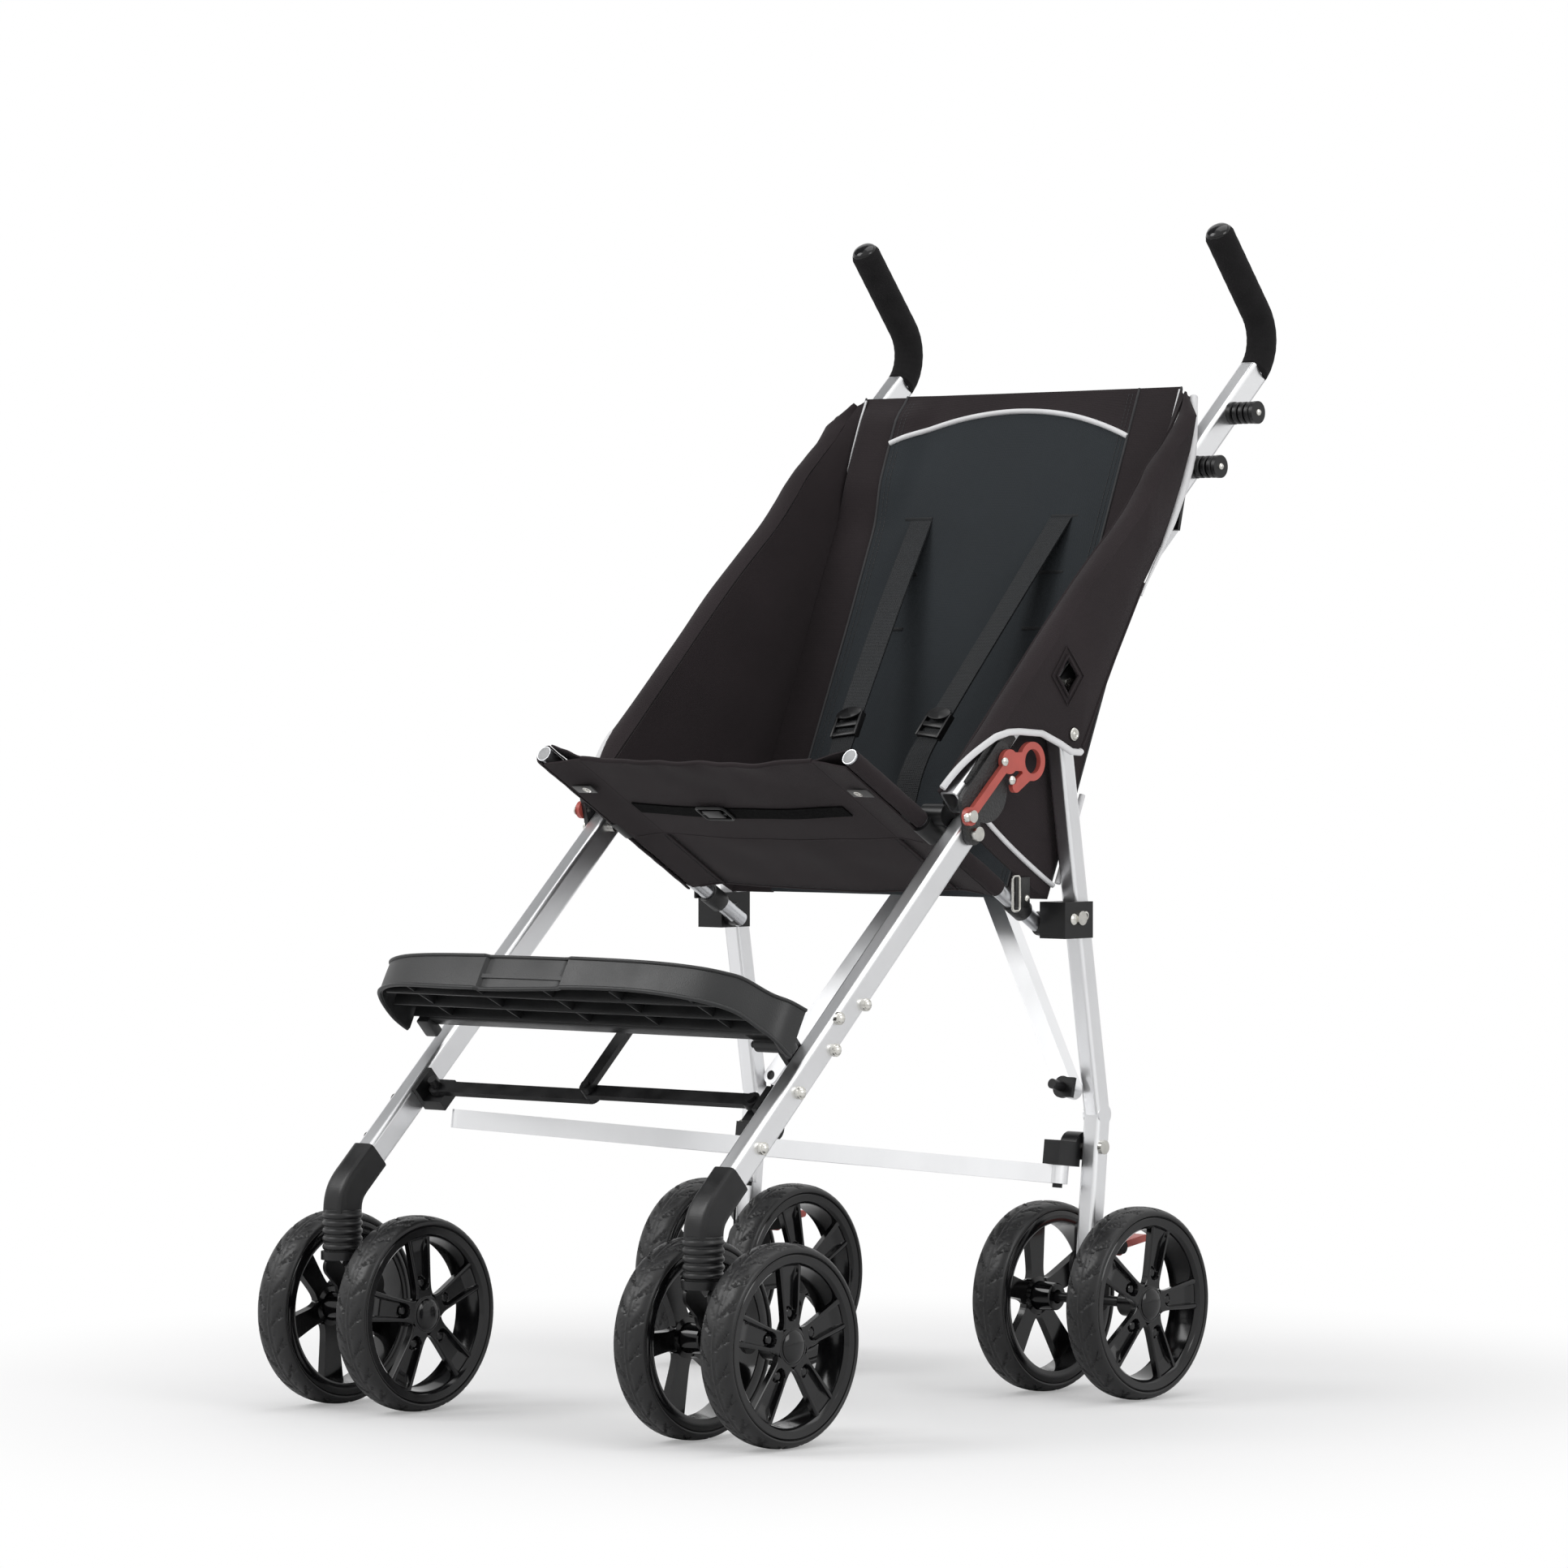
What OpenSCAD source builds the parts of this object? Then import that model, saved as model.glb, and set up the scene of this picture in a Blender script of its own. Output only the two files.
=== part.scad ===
/* [Wheels] */
// Diameter of every tyre
wheel_d = 190; // [170:1:200]
// Width of every tyre
tyre_w = 38; // [30:1:42]
// Diameter of the rim seat under the tyre
rim_d = 158; // [150:1:162]
// Diameter of the axles
axle_d = 10; // [8:1:12]
// Spacing of the two wheels of a front caster
front_twin = 107; // [104:1:114]
// Spacing of the two wheels of a rear pair
rear_twin = 118; // [116:1:126]
// Distance between the front and rear axles
wheelbase = 540; // [520:5:600]
// How far the front wheels trail behind the swivel
caster_trail = 46; // [40:1:50]
// Number of spokes in a wheel
spokes = 5; // [5:1:6]

/* [Side frames] */
// Half of the distance between the two side frames
frame_half = 234; // [230:1:246]
// Width of the frame tubes, across the buggy
tube_w = 20; // [18:1:22]
// Depth of the front legs and the handle tubes
tube_d = 27; // [24:1:28]
// Depth of the rear legs
rear_tube_d = 20; // [18:1:22]
// Wall of the frame tubes
tube_wall = 2; // [1.5:0.5:3]
// Slope of the front legs
leg_angle = 43; // [42:0.5:45]
// Length of the front leg tubes
leg_len = 486; // [480:1:492]
// Slope of the handle tubes
handle_angle = 42; // [41:0.5:43]
// Length of the straight part of the handle tubes
handle_len = 643; // [620:1:660]
// Half of the distance between the rear legs
rear_half = 225; // [222:1:228]

/* [Handles] */
// Outer diameter of the foam grips
grip_d = 30; // [28:1:34]
// Diameter of the round tube inside the grips
grip_core_d = 21; // [18:1:22]
// Bend radius of the handles
grip_bend = 45; // [40:1:60]
// Angle that the handles turn through
grip_turn = 87; // [70:1:95]
// Straight length of the grips
grip_len = 100; // [90:1:130]

/* [Seat] */
// Diameter of the round seat rails
rail_d = 16; // [14:1:18]
// Half of the distance between the seat rails
rail_half = 199; // [194:1:200]
// Length of the seat rails
rail_len = 342; // [330:1:346]
// Slope of the seat, falling to the rear
seat_tilt = 30.4; // [28:0.2:32]
// Sag of the seat sling
seat_sag = 8; // [4:1:16]
// Length of the seat sling along the rails
sling_len = 258; // [240:1:270]
// Thickness of the cover fabric
cloth_t = 4; // [3:0.5:5]
// Half width of the back panel between its seams
panel_half = 198; // [190:1:204]
// Width of the harness webbing
strap_w = 24; // [20:1:30]

/* [Folding linkage] */
// Height of the flat lower bars
bar_h = 18; // [16:1:20]
// Thickness of the flat lower bars
bar_t = 12; // [10:1:14]
// Side of the square rear braces
brace_w = 18; // [16:1:19]
// Thickness of the front links
link_t = 6; // [5:1:7]
// Width of the front links
link_w = 14; // [12:1:16]

/* [Footplate] */
// Width of the footplate
plate_w = 510; // [490:2:520]
// Depth of the footplate
plate_depth = 100; // [90:1:110]
// Thickness of the footplate's web
plate_t = 5; // [4:0.5:7]
// Height of the footplate's front rim
rim_h = 36; // [28:1:40]
// Slope of the footplate, rising to the front
plate_tilt = 26; // [20:1:30]

/* [Fits] */
// Radial clearance of a running pin
run_gap = 0.05; // [0.02:0.01:0.1]
// Gap between faces that pass each other
face_gap = 0.5; // [0.4:0.1:1]

/* [Hidden] */
$fn = 48;
wheel_r = wheel_d / 2;
barrel_w = tyre_w - 4;
axle_r = axle_d / 2;
front_axle_y = -wheelbase / 2;
rear_axle_y = wheelbase / 2;
swivel_y = front_axle_y - caster_trail;

// The pivot of a front leg on its side frame, in the side plane
pivot_y = 58;
pivot_z = 560;
pin_r = 5;
foot_y = pivot_y - leg_len * cos(leg_angle);
foot_z = pivot_z - leg_len * sin(leg_angle);

// The lower end of a handle tube
handle_y = 45;
handle_z = 590;
grip_y = handle_y + handle_len * cos(handle_angle);
grip_z = handle_z + handle_len * sin(handle_angle);
plug_h = 7;

// The rear leg: top, bend and bottom in the side plane
rear_top = [211, 699];
rear_bend = [280, 278];
rear_foot = [264, 112];

// The front end of a seat rail
rail_y = -68;
rail_z = 635;

// Where the depth of the whole object has its middle
front_reach = swivel_y + caster_trail - wheel_r;
arc_y = grip_y - grip_bend * sin(handle_angle);
rear_reach = arc_y + grip_bend + grip_d / 2;
mid_y = (front_reach + rear_reach) / 2;

// Faces of the side frames across the buggy
outer_face = frame_half + tube_w / 2;
inner_face = frame_half - tube_w / 2;
rear_inner = rear_half - tube_w / 2;
rear_outer = rear_half + tube_w / 2;
plate_x = outer_face + face_gap;
lock_plate_t = 5;
lever_t = 5;
lever_x = plate_x + lock_plate_t + face_gap;

// Front knuckle and links, along and across the leg
knuckle_s = 118;
bar_s = 104;
bar_n = -27;
link_pin_x = inner_face - 18;
link_eye_r = 9;

// Rear knuckle and lower bars
knuckle_y = 275;
knuckle_z = 246;
bar_pin_x = rear_inner - 12;
bar_pin_y = 246;
bar_pin_z = 219;
bar_front_y = foot_y + bar_s * cos(leg_angle) - bar_n * sin(leg_angle);
bar_front_z = foot_z + bar_s * sin(leg_angle) + bar_n * cos(leg_angle);
bar_pitch = atan2(bar_front_z - bar_pin_z, bar_pin_y - bar_front_y);
bar_run = norm([bar_front_z - bar_pin_z, bar_pin_y - bar_front_y]);
bar_front_x = link_pin_x - 18;
bar_yaw = atan2(bar_pin_x + bar_front_x, bar_run);
bar_len = norm([bar_pin_x + bar_front_x, bar_run]);
bar_drop = bar_h + face_gap;
knuckle_h = 24;

// Rear braces, in a plane that leans back a little
brace_lean = 14;
brace_x = rear_inner - 14;
brace_y = 276;
brace_z = 300;
brace_rise = 585;
brace_top_x = 200;
brace_angle = atan2(brace_x + brace_top_x, brace_rise);
brace_len = norm([brace_x + brace_top_x, brace_rise]);
brace_off = brace_w / 2 + face_gap;

// Footplate hinge in the side plane, in front of the legs
hinge_s = 177;
hinge_n = tube_d / 2 + 8;
hinge_y = foot_y + hinge_s * cos(leg_angle) - hinge_n * sin(leg_angle);
hinge_z = foot_z + hinge_s * sin(leg_angle) + hinge_n * cos(leg_angle);
hinge_r = 7;
hinge_pin_r = 3.5;
hinge_run = 40;

// Casters
boot_r = 21;
stem_r = 8;
swivel_r = 6;
boot_top = 194;
boot_h = 38;
crown_h = 8;
fork_half = 17;
fork_t = 4;

alu = "#e9eaec";
black = "#1d1d20";
rubber = "#26262a";
steel = "#c9cacd";
red = "#c9473f";
cloth = "#332c2e";
web = "#2f3236";

// A rectangle with round corners
module round_rect(w, d, r) {
  square([w - 2 * r, d], center = true);
  square([w, d - 2 * r], center = true);
  for (x = [-1, 1], y = [-1, 1]) {
    translate([x * (w / 2 - r), y * (d / 2 - r)]) circle(r);
  }
}

// A rectangular tube along +Z
module box_tube(w, d, len) {
  corner = 4;
  difference() {
    linear_extrude(len) round_rect(w, d, corner);
    translate([0, 0, -1]) linear_extrude(len + 2)
      round_rect(w - 2 * tube_wall, d - 2 * tube_wall, corner - tube_wall / 2);
  }
}

// Local +Z runs up a slope in the side plane, and local -Y is its upper front side
module aim(p, slope) {
  translate(p) rotate([slope - 90, 0, 0]) children();
}

// The frame of a front leg: origin at its lower end
module on_leg(side) {
  aim([side * frame_half, foot_y, foot_z], leg_angle) children();
}

// The frame of a handle tube: origin at its lower end
module on_handle(side) {
  aim([side * frame_half, handle_y, handle_z], handle_angle) children();
}

// A rod across the buggy, from x0 to x1
module cross_rod(x0, x1, y, z, r) {
  translate([min(x0, x1), y, z]) rotate([0, 90, 0]) cylinder(h = abs(x1 - x0), r = r);
}

// A flat outline in the side plane, from x0 outwards by t
module side_plate(x0, t, side) {
  mirror([side > 0 ? 0 : 1, 0, 0]) translate([x0, 0, 0]) rotate([90, 0, 90]) linear_extrude(t) children();
}

// A straight band with round ends between two points of a plane
module band(p, q, w) {
  d = q - p;
  swell = 0.05;
  translate(p) circle(w / 2 + swell);
  translate(q) circle(w / 2 + swell);
  translate(p) rotate(atan2(d.y, d.x)) translate([0, -w / 2]) square([norm(d), w]);
}

// A curved sheet: f gives a point for u and v, both 0 to 1, and back is its thickness
module sheet(f, nu, nv, back) {
  m = nv + 1;
  n = (nu + 1) * m;
  top = [for (i = [0 : nu], j = [0 : nv]) f(i / nu, j / nv)];
  pts = concat(top, [for (p = top) p + back]);
  q = function(a, b, c, d) [[a, b, c], [a, c, d]];
  at = function(i, j) i * m + j;
  faces = concat(
    [for (i = [0 : nu - 1], j = [0 : nv - 1])
      each q(at(i, j), at(i, j + 1), at(i + 1, j + 1), at(i + 1, j))],
    [for (i = [0 : nu - 1], j = [0 : nv - 1])
      each q(n + at(i, j), n + at(i + 1, j), n + at(i + 1, j + 1), n + at(i, j + 1))],
    [for (j = [0 : nv - 1]) each q(at(0, j), n + at(0, j), n + at(0, j + 1), at(0, j + 1))],
    [for (j = [0 : nv - 1]) each q(at(nu, j + 1), n + at(nu, j + 1), n + at(nu, j), at(nu, j))],
    [for (i = [0 : nu - 1]) each q(at(i + 1, 0), n + at(i + 1, 0), n + at(i, 0), at(i, 0))],
    [for (i = [0 : nu - 1]) each q(at(i, nv), n + at(i, nv), n + at(i + 1, nv), at(i + 1, nv))]
  );
  polyhedron(pts, faces, convexity = 6);
}

function mix(a, b, t) = a + (b - a) * t;

// Handle tube with its bent round top
module handle_tube(side) {
  color(alu) on_handle(side) {
    box_tube(tube_w, tube_d, handle_len);
    neck = 24;
    translate([0, 0, handle_len - neck]) linear_extrude(neck) round_rect(tube_w, tube_d, 4);
    translate([0, -grip_bend, handle_len]) rotate([90, 0, 90])
      rotate_extrude(angle = grip_turn) translate([grip_bend, 0]) circle(grip_core_d / 2);
    translate([0, grip_bend * (cos(grip_turn) - 1), handle_len + grip_bend * sin(grip_turn)])
      rotate([grip_turn, 0, 0]) cylinder(h = grip_len - 2, r = grip_core_d / 2);
  }
}

// Foam grip and its domed end plug
module grip(side) {
  bore = grip_core_d / 2 + 0.1;
  color(black) on_handle(side) {
    translate([0, -grip_bend, handle_len]) rotate([90, 0, 90]) difference() {
      rotate_extrude(angle = grip_turn) translate([grip_bend, 0]) circle(grip_d / 2);
      rotate_extrude(angle = grip_turn) translate([grip_bend, 0]) circle(bore);
    }
    translate([0, grip_bend * (cos(grip_turn) - 1), handle_len + grip_bend * sin(grip_turn)])
      rotate([grip_turn, 0, 0]) {
        difference() {
          cylinder(h = grip_len, r = grip_d / 2);
          translate([0, 0, -1]) cylinder(h = grip_len + 2, r = bore);
        }
        plug = grip_d / 2 - 1;
        translate([0, 0, grip_len]) rotate_extrude()
          polygon([[0, 0], [plug, 0], [plug, 2], [plug - 2, 5], [plug - 6, plug_h], [0, plug_h]]);
      }
  }
}

// Bent rear leg
module rear_leg(side) {
  top = rear_top - rear_bend;
  low = rear_bend - rear_foot;
  color(alu) {
    aim([side * rear_half, rear_bend.x, rear_bend.y], atan2(top.y, top.x))
      box_tube(tube_w, rear_tube_d, norm(top));
    aim([side * rear_half, rear_foot.x, rear_foot.y], atan2(low.y, low.x))
      box_tube(tube_w, rear_tube_d, norm(low));
    cross_rod(side * rear_inner, side * rear_outer, rear_bend.x, rear_bend.y, rear_tube_d / 2);
  }
}

// Front leg, bored for its pivot at the top
module front_leg(side) {
  stub = 12;
  color(alu) difference() {
    on_leg(side) box_tube(tube_w, tube_d, leg_len + stub);
    cross_rod(side * (inner_face - 1), side * (outer_face + 1), pivot_y, pivot_z, pin_r + run_gap);
  }
}

// Round seat rail, falling to the rear
module on_rail(side) {
  aim([side * rail_half, rail_y, rail_z], -seat_tilt) children();
}

module seat_rail(side) {
  color(steel) on_rail(side) difference() {
    cylinder(h = rail_len, r = rail_d / 2);
    translate([0, 0, -1]) cylinder(h = rail_len + 2, r = rail_d / 2 - 1.5);
  }
}

// Side plate of the fold lock, with a round sector and an arm up the handle tube
module lock_bracket(side) {
  sector = [76, 602];
  sector_r = 32;
  arm_top = [100, 637];
  arm_w = 24;
  tongue_w = 22;
  color(black) difference() {
    side_plate(plate_x, lock_plate_t, side) {
      difference() {
        translate(sector) circle(sector_r);
        translate(sector) rotate(handle_angle) translate([-60, 4]) square([120, 60]);
      }
      band([handle_y + 6, handle_z], arm_top, arm_w);
      band([pivot_y, pivot_z], [handle_y + 6, handle_z], tongue_w);
    }
    cross_rod(side * (plate_x - 1), side * (plate_x + lock_plate_t + 1), pivot_y, pivot_z, pin_r);
    cross_rod(side * (plate_x - 1), side * (plate_x + lock_plate_t + 1), lever_pivot.x, lever_pivot.y, 3);
  }
}

// Red lever of the fold lock, with its finger ring and its hook
lever_pivot = [47, 577];
lever_ring = [141, 629];
lever_rivet = [106, 629];
lever_notch = [112, 611];
module lock_lever(side) {
  ring_r = 19;
  color(red) difference() {
    side_plate(lever_x, lever_t, side) difference() {
      union() {
        translate(lever_pivot) circle(9);
        band(lever_pivot, lever_rivet, 9);
        translate(lever_rivet) circle(12);
        translate(lever_ring) circle(ring_r);
        band(lever_rivet, lever_ring, 18);
        band(lever_ring - [8, 14], lever_notch + [4, -6], 12);
      }
      translate(lever_ring) circle(ring_r - 7);
      band(lever_notch, lever_notch - [18, 4], 8);
    }
    cross_rod(side * (lever_x - 1), side * (lever_x + lever_t + 1), lever_pivot.x, lever_pivot.y,
      3 + run_gap);
  }
}

// Black mouldings of a side frame: rail bush, rear clamp, brace brackets and two spools
module frame_fittings(side) {
  bush_y = 50;
  bush_z = rail_z - (bush_y - rail_y) * tan(seat_tilt);
  bush_rise = 12;
  boss_y = handle_y + 8;
  boss_z = handle_z + 2;
  clamp_y = 229;
  clamp_z = 472;
  bush_r = 12;
  spool_r = 11.5;
  spool_len = 33;
  bored = rail_d / 2 + 0.1;
  color(black) {
    difference() {
      union() {
        cross_rod(side * (rail_half - 3), side * (inner_face - face_gap), bush_y, bush_z + bush_rise,
          bush_r - 1);
        cross_rod(side * (inner_face - 4), side * inner_face, boss_y, boss_z, 7);
        on_rail(side) translate([0, 0, norm([bush_y - rail_y, bush_z - rail_z]) - 14])
          cylinder(h = 28, r = bush_r);
      }
      on_rail(side) cylinder(h = rail_len, r = bored);
    }
    difference() {
      union() {
        cross_rod(side * (rail_half - 3), side * (rear_inner + 1), clamp_y - 6, clamp_z - 4, bush_r);
        translate([side * rear_half - (tube_w + 12) / 2, clamp_y - 20, clamp_z - 18])
          cube([tube_w + 12, 44, 36]);
      }
      on_rail(side) cylinder(h = rail_len + 1, r = bored);
      top = rear_top - rear_bend;
      aim([side * rear_half, rear_bend.x, rear_bend.y], atan2(top.y, top.x))
        linear_extrude(norm(top)) round_rect(tube_w + 0.2, rear_tube_d + 0.2, 4);
    }
    for (s = [0.9, 0.77]) on_handle(side) translate([side * tube_w / 2, 0, handle_len * s])
      rotate([0, side * 90, 0]) rotate_extrude()
        polygon([[0, 0], [spool_r, 0], [spool_r, 4], [6, 7], [6, spool_len - 7], [spool_r, spool_len - 4],
          [spool_r, spool_len], [0, spool_len]]);
    brace_tab(side);
    brace_hook(side);
    top_joint(side);
  }
}

// Tab on the rear leg that carries a brace's lower pin
module brace_tab(side) {
  tab_t = 4;
  on_brace(side) {
    translate([0, brace_face(side, tab_t), 0]) rotate([90, 0, 0])
      linear_extrude(tab_t, center = true) {
        circle(11);
        translate([side > 0 ? 0 : -(rear_inner - brace_x), -10]) square([rear_inner - brace_x, 20]);
      }
    translate([0, brace_face(side, tab_t), 0]) rotate([side * brace_sign(side) * 90, 0, 0])
      cylinder(h = brace_w, r = pin_r);
  }
}

// Which side of the two braces' common plane a brace runs on: the left one in front
function brace_sign(side) = side > 0 ? 1 : -1;
function brace_face(side, t) = -brace_sign(side) * (2 * brace_off + t / 2);

// The frame of a brace at its lower pin: local Z leans back, local Y is square to both braces
module on_brace(side) {
  translate([side * brace_x, brace_y, brace_z]) rotate([-brace_lean, 0, 0]) children();
}

// Hook on the handle tube where the other brace's upper end lies
module brace_hook(side) {
  tab_t = 4;
  on_brace(side) translate([side * (brace_top_x - brace_x), -side * tab_t / 2, brace_rise])
    rotate([90, 0, 0])
    linear_extrude(tab_t, center = true) {
      circle(11);
      translate([side > 0 ? 0 : -(inner_face - brace_top_x), -10]) square([inner_face - brace_top_x, 80]);
    }
}

// Plate under the handle tube that takes the rear leg's top
module top_joint(side) {
  side_plate(rear_outer, outer_face - rear_outer, side) difference() {
    band(rear_top - [-4, 24], rear_top + [-4, 22], 26);
    translate([handle_y, handle_z]) rotate(handle_angle) translate([0, -tube_d / 2])
      square([handle_len, 90]);
  }
}

// Screws, nuts and pins of a side frame
module frame_bolts(side) {
  color(steel) {
    nut_x = lever_x + lever_t + face_gap;
    head_x = plate_x + lock_plate_t;
    cross_rod(side * (inner_face - 6), side * (head_x + 1), pivot_y, pivot_z, pin_r);
    cross_rod(side * head_x, side * (head_x + 7), pivot_y, pivot_z, 7);
    cross_rod(side * (plate_x + 1), side * nut_x, lever_pivot.x, lever_pivot.y, 3);
    cross_rod(side * nut_x, side * (nut_x + 3), lever_pivot.x, lever_pivot.y, 6);
    cross_rod(side * outer_face, side * (outer_face + 4), 207, 704, 6);
    cross_rod(side * (rear_half + tube_w / 2 + 6), side * (rear_half + tube_w / 2 + 10), 232, 474, 7);
    cross_rod(side * (bar_pin_x - 14), side * (rear_inner), knuckle_y, knuckle_z, pin_r);
    cross_rod(side * rear_outer, side * (rear_outer + 4), knuckle_y, knuckle_z, 7);
  }
}

// Elbow between a front leg and its caster
module caster_socket(side) {
  neck_w = tube_w + 8;
  neck_d = tube_d + 8;
  len = 26;
  color(black) {
    difference() {
      union() {
        on_leg(side) translate([0, 0, -14]) linear_extrude(len + 14) round_rect(neck_w, neck_d, 6);
        translate([side * frame_half, swivel_y, boot_top]) linear_extrude(26) round_rect(neck_w, neck_d, 6);
      }
      on_leg(side) linear_extrude(len + 1) round_rect(tube_w, tube_d, 4);
    }
    translate([side * frame_half, swivel_y, boot_top - boot_h]) cylinder(h = boot_h + 1, r = stem_r);
    translate([side * frame_half, swivel_y, boot_top - boot_h - face_gap - crown_h + 2])
      cylinder(h = crown_h, r = swivel_r);
  }
}

// Ribbed rubber boot round the caster stem
module caster_boot(side) {
  ribs = 5;
  pitch = boot_h / ribs;
  color(rubber) translate([side * frame_half, swivel_y, boot_top - boot_h]) rotate_extrude() difference() {
    union() {
      translate([stem_r, 0]) square([boot_r - stem_r - 3, boot_h]);
      for (i = [0 : ribs - 1]) translate([boot_r - 5, (i + 0.5) * pitch]) circle(pitch / 2 - 0.2);
    }
    translate([0, -1]) square([stem_r + 0.1, boot_h + 2]);
  }
}

// Caster fork: crown, two trailing blades, a cross pin and the axle
module caster_fork(side) {
  top = boot_top - boot_h - face_gap;
  axle_len = front_twin + barrel_w - 2 * face_gap;
  color(black) translate([side * frame_half, 0, 0]) {
    difference() {
      translate([0, swivel_y, top - crown_h]) cylinder(h = crown_h, r = boot_r);
      translate([0, swivel_y, top - crown_h + 1.5]) cylinder(h = crown_h, r = swivel_r + run_gap);
    }
    for (x = [-1, 1]) translate([x * (fork_half - fork_t / 2) - fork_t / 2, 0, 0]) rotate([90, 0, 90])
      linear_extrude(fork_t) {
        band([swivel_y, top - crown_h - 8], [front_axle_y, wheel_r], 20);
        translate([(swivel_y + front_axle_y) / 2, (top - crown_h + wheel_r) / 2]) circle(17);
      }
    cross_rod(-fork_half, fork_half, (swivel_y + front_axle_y) / 2, (top - crown_h + wheel_r) / 2, 5);
    cross_rod(-axle_len / 2, axle_len / 2, front_axle_y, wheel_r, axle_r);
  }
}

// Tyre: a rounded ring on the rim
module tyre() {
  seat = rim_d / 2;
  deep = wheel_r - seat;
  shoulder = deep - 3;
  color(rubber) rotate([0, 90, 0]) rotate_extrude() difference() {
    union() {
      translate([seat, -tyre_w / 2]) square([deep - shoulder, tyre_w]);
      translate([seat, -tyre_w / 2 + shoulder]) square([deep, tyre_w - 2 * shoulder]);
      for (y = [-1, 1]) translate([seat + deep - shoulder, y * (tyre_w / 2 - shoulder)]) circle(shoulder);
    }
    square([seat * 2, tyre_w * 2], center = true);
  }
}

// Rim: barrel, hub, hub cap and forked spokes; the cap faces away from the axle's middle
module wheel_rim(face) {
  seat = rim_d / 2;
  barrel_t = 5;
  hub_r = 19;
  spoke_t = 10;
  front = barrel_w / 2 - spoke_t;
  color(black) rotate([0, 90 * face, 0]) {
    rotate_extrude() translate([seat - barrel_t, -barrel_w / 2]) square([barrel_t, barrel_w]);
    difference() {
      translate([0, 0, -barrel_w / 2]) cylinder(h = barrel_w + 3, r = hub_r - 2);
      translate([0, 0, -barrel_w / 2 - 1]) cylinder(h = barrel_w + 1, r = axle_r + run_gap);
    }
    translate([0, 0, front]) linear_extrude(spoke_t) difference() {
      for (i = [0 : spokes - 1]) rotate(i * 360 / spokes)
        polygon([[hub_r - 5, -9], [seat - 2, -16], [seat - 2, 16], [hub_r - 5, 9]]);
      for (i = [0 : spokes - 1]) rotate(i * 360 / spokes)
        polygon([[hub_r + 9, -4], [seat - 14, -9], [seat - 14, 9], [hub_r + 9, 4]]);
    }
    translate([0, 0, front]) linear_extrude(3) for (i = [0 : spokes - 1]) rotate(i * 360 / spokes)
      polygon([[hub_r + 8, -5], [seat - 13, -10], [seat - 13, 10], [hub_r + 8, 5]]);
  }
}

// Where a wheel's middle lies
function wheel_at(side, rear, out) = [
  side * (rear ? rear_half : frame_half) + side * out * (rear ? rear_twin : front_twin) / 2,
  rear ? rear_axle_y : front_axle_y,
  wheel_r
];

// Rear wheel bracket: two blades beside the leg, a cross pin and the axle
module rear_bracket(side) {
  blade_t = 4;
  axle_len = rear_twin + barrel_w - 2 * face_gap;
  color(black) pedal_arm(side);
  color(black) translate([side * rear_half, 0, 0]) {
    for (x = [-1, 1]) translate([x * (tube_w / 2 + blade_t / 2 + 0.1) - blade_t / 2, 0, 0])
      rotate([90, 0, 90])
      linear_extrude(blade_t) {
        band([rear_axle_y, wheel_r], [rear_axle_y + 3, wheel_r + 68], 22);
        translate([rear_axle_y, wheel_r + 34]) circle(17);
      }
    cross_rod(-axle_len / 2, axle_len / 2, rear_axle_y, wheel_r, axle_r);
  }
}

// Red brake pedal behind a rear leg
pedal_y = 300;
pedal_z = 146;
module brake_pedal(side) {
  color(red) translate([side * rear_half, 0, 0]) {
    rotate([90, 0, 90]) linear_extrude(26, center = true) difference() {
      union() {
        translate([pedal_y, pedal_z]) circle(9);
        band([pedal_y, pedal_z], [pedal_y + 42, pedal_z + 6], 7);
      }
      translate([pedal_y, pedal_z]) circle(4 + run_gap);
    }
  }
}

// Arm that carries the brake pedal's pin
module pedal_arm(side) {
  arm_t = 4;
  translate([side * rear_half, 0, 0]) {
    for (x = [-1, 1]) translate([x * (13 + face_gap + arm_t / 2) - arm_t / 2, 0, 0]) rotate([90, 0, 90])
      linear_extrude(arm_t) band([rear_axle_y + 3, pedal_z], [pedal_y, pedal_z], 14);
    cross_rod(-15, 15, pedal_y, pedal_z, 4);
  }
}

// Knuckle on the inner side of a front leg: a block with a link pin
module front_knuckle(side) {
  depth = 28;
  stack = 2 * link_t + 3 * face_gap;
  color(black) on_leg(side) {
    translate([-side * (tube_w / 2 + depth / 2), 9, knuckle_s]) cube([depth, 12, 30], center = true);
    translate([-side * (tube_w / 2 + 3), 0, knuckle_s]) cube([6, 26, 30], center = true);
    translate([-side * (frame_half - link_pin_x), 4, knuckle_s]) rotate([90, 0, 0])
      cylinder(h = stack + 4, r = pin_r);
    for (p = [[263, 9], [227, -9], [203, 9], [140, 2], [68, 2]]) if (side > 0 || p[0] > 100)
      translate([side * tube_w / 2, p[1], p[0]]) rotate([0, side * 90, 0]) cylinder(h = 4, r = 5.5);
    if (side > 0) plate_bracket();
    if (side < 0) translate([-tube_w / 2, 0, hook_s + 38]) rotate([0, -90, 0]) {
      cylinder(h = 8, r = 3);
      translate([0, 0, 5 + 2 * face_gap]) cylinder(h = 3, r = 6);
    }
  }
}

// Plate on the left leg that carries the footplate's hinge pin
module plate_bracket() {
  bracket_t = 6;
  translate([-tube_w / 2 - bracket_t, 0, hinge_s]) rotate([90, 0, 90]) linear_extrude(bracket_t)
    difference() {
    band([0, 0], [-hinge_n, 0], 24);
    translate([40 - tube_d / 2, 0]) square([60, 60], center = true);
  }
  translate([-tube_w / 2 - bracket_t - hinge_run, -hinge_n, hinge_s]) rotate([0, 90, 0])
    cylinder(h = hinge_run + 2, r = hinge_pin_r);
}

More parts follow.
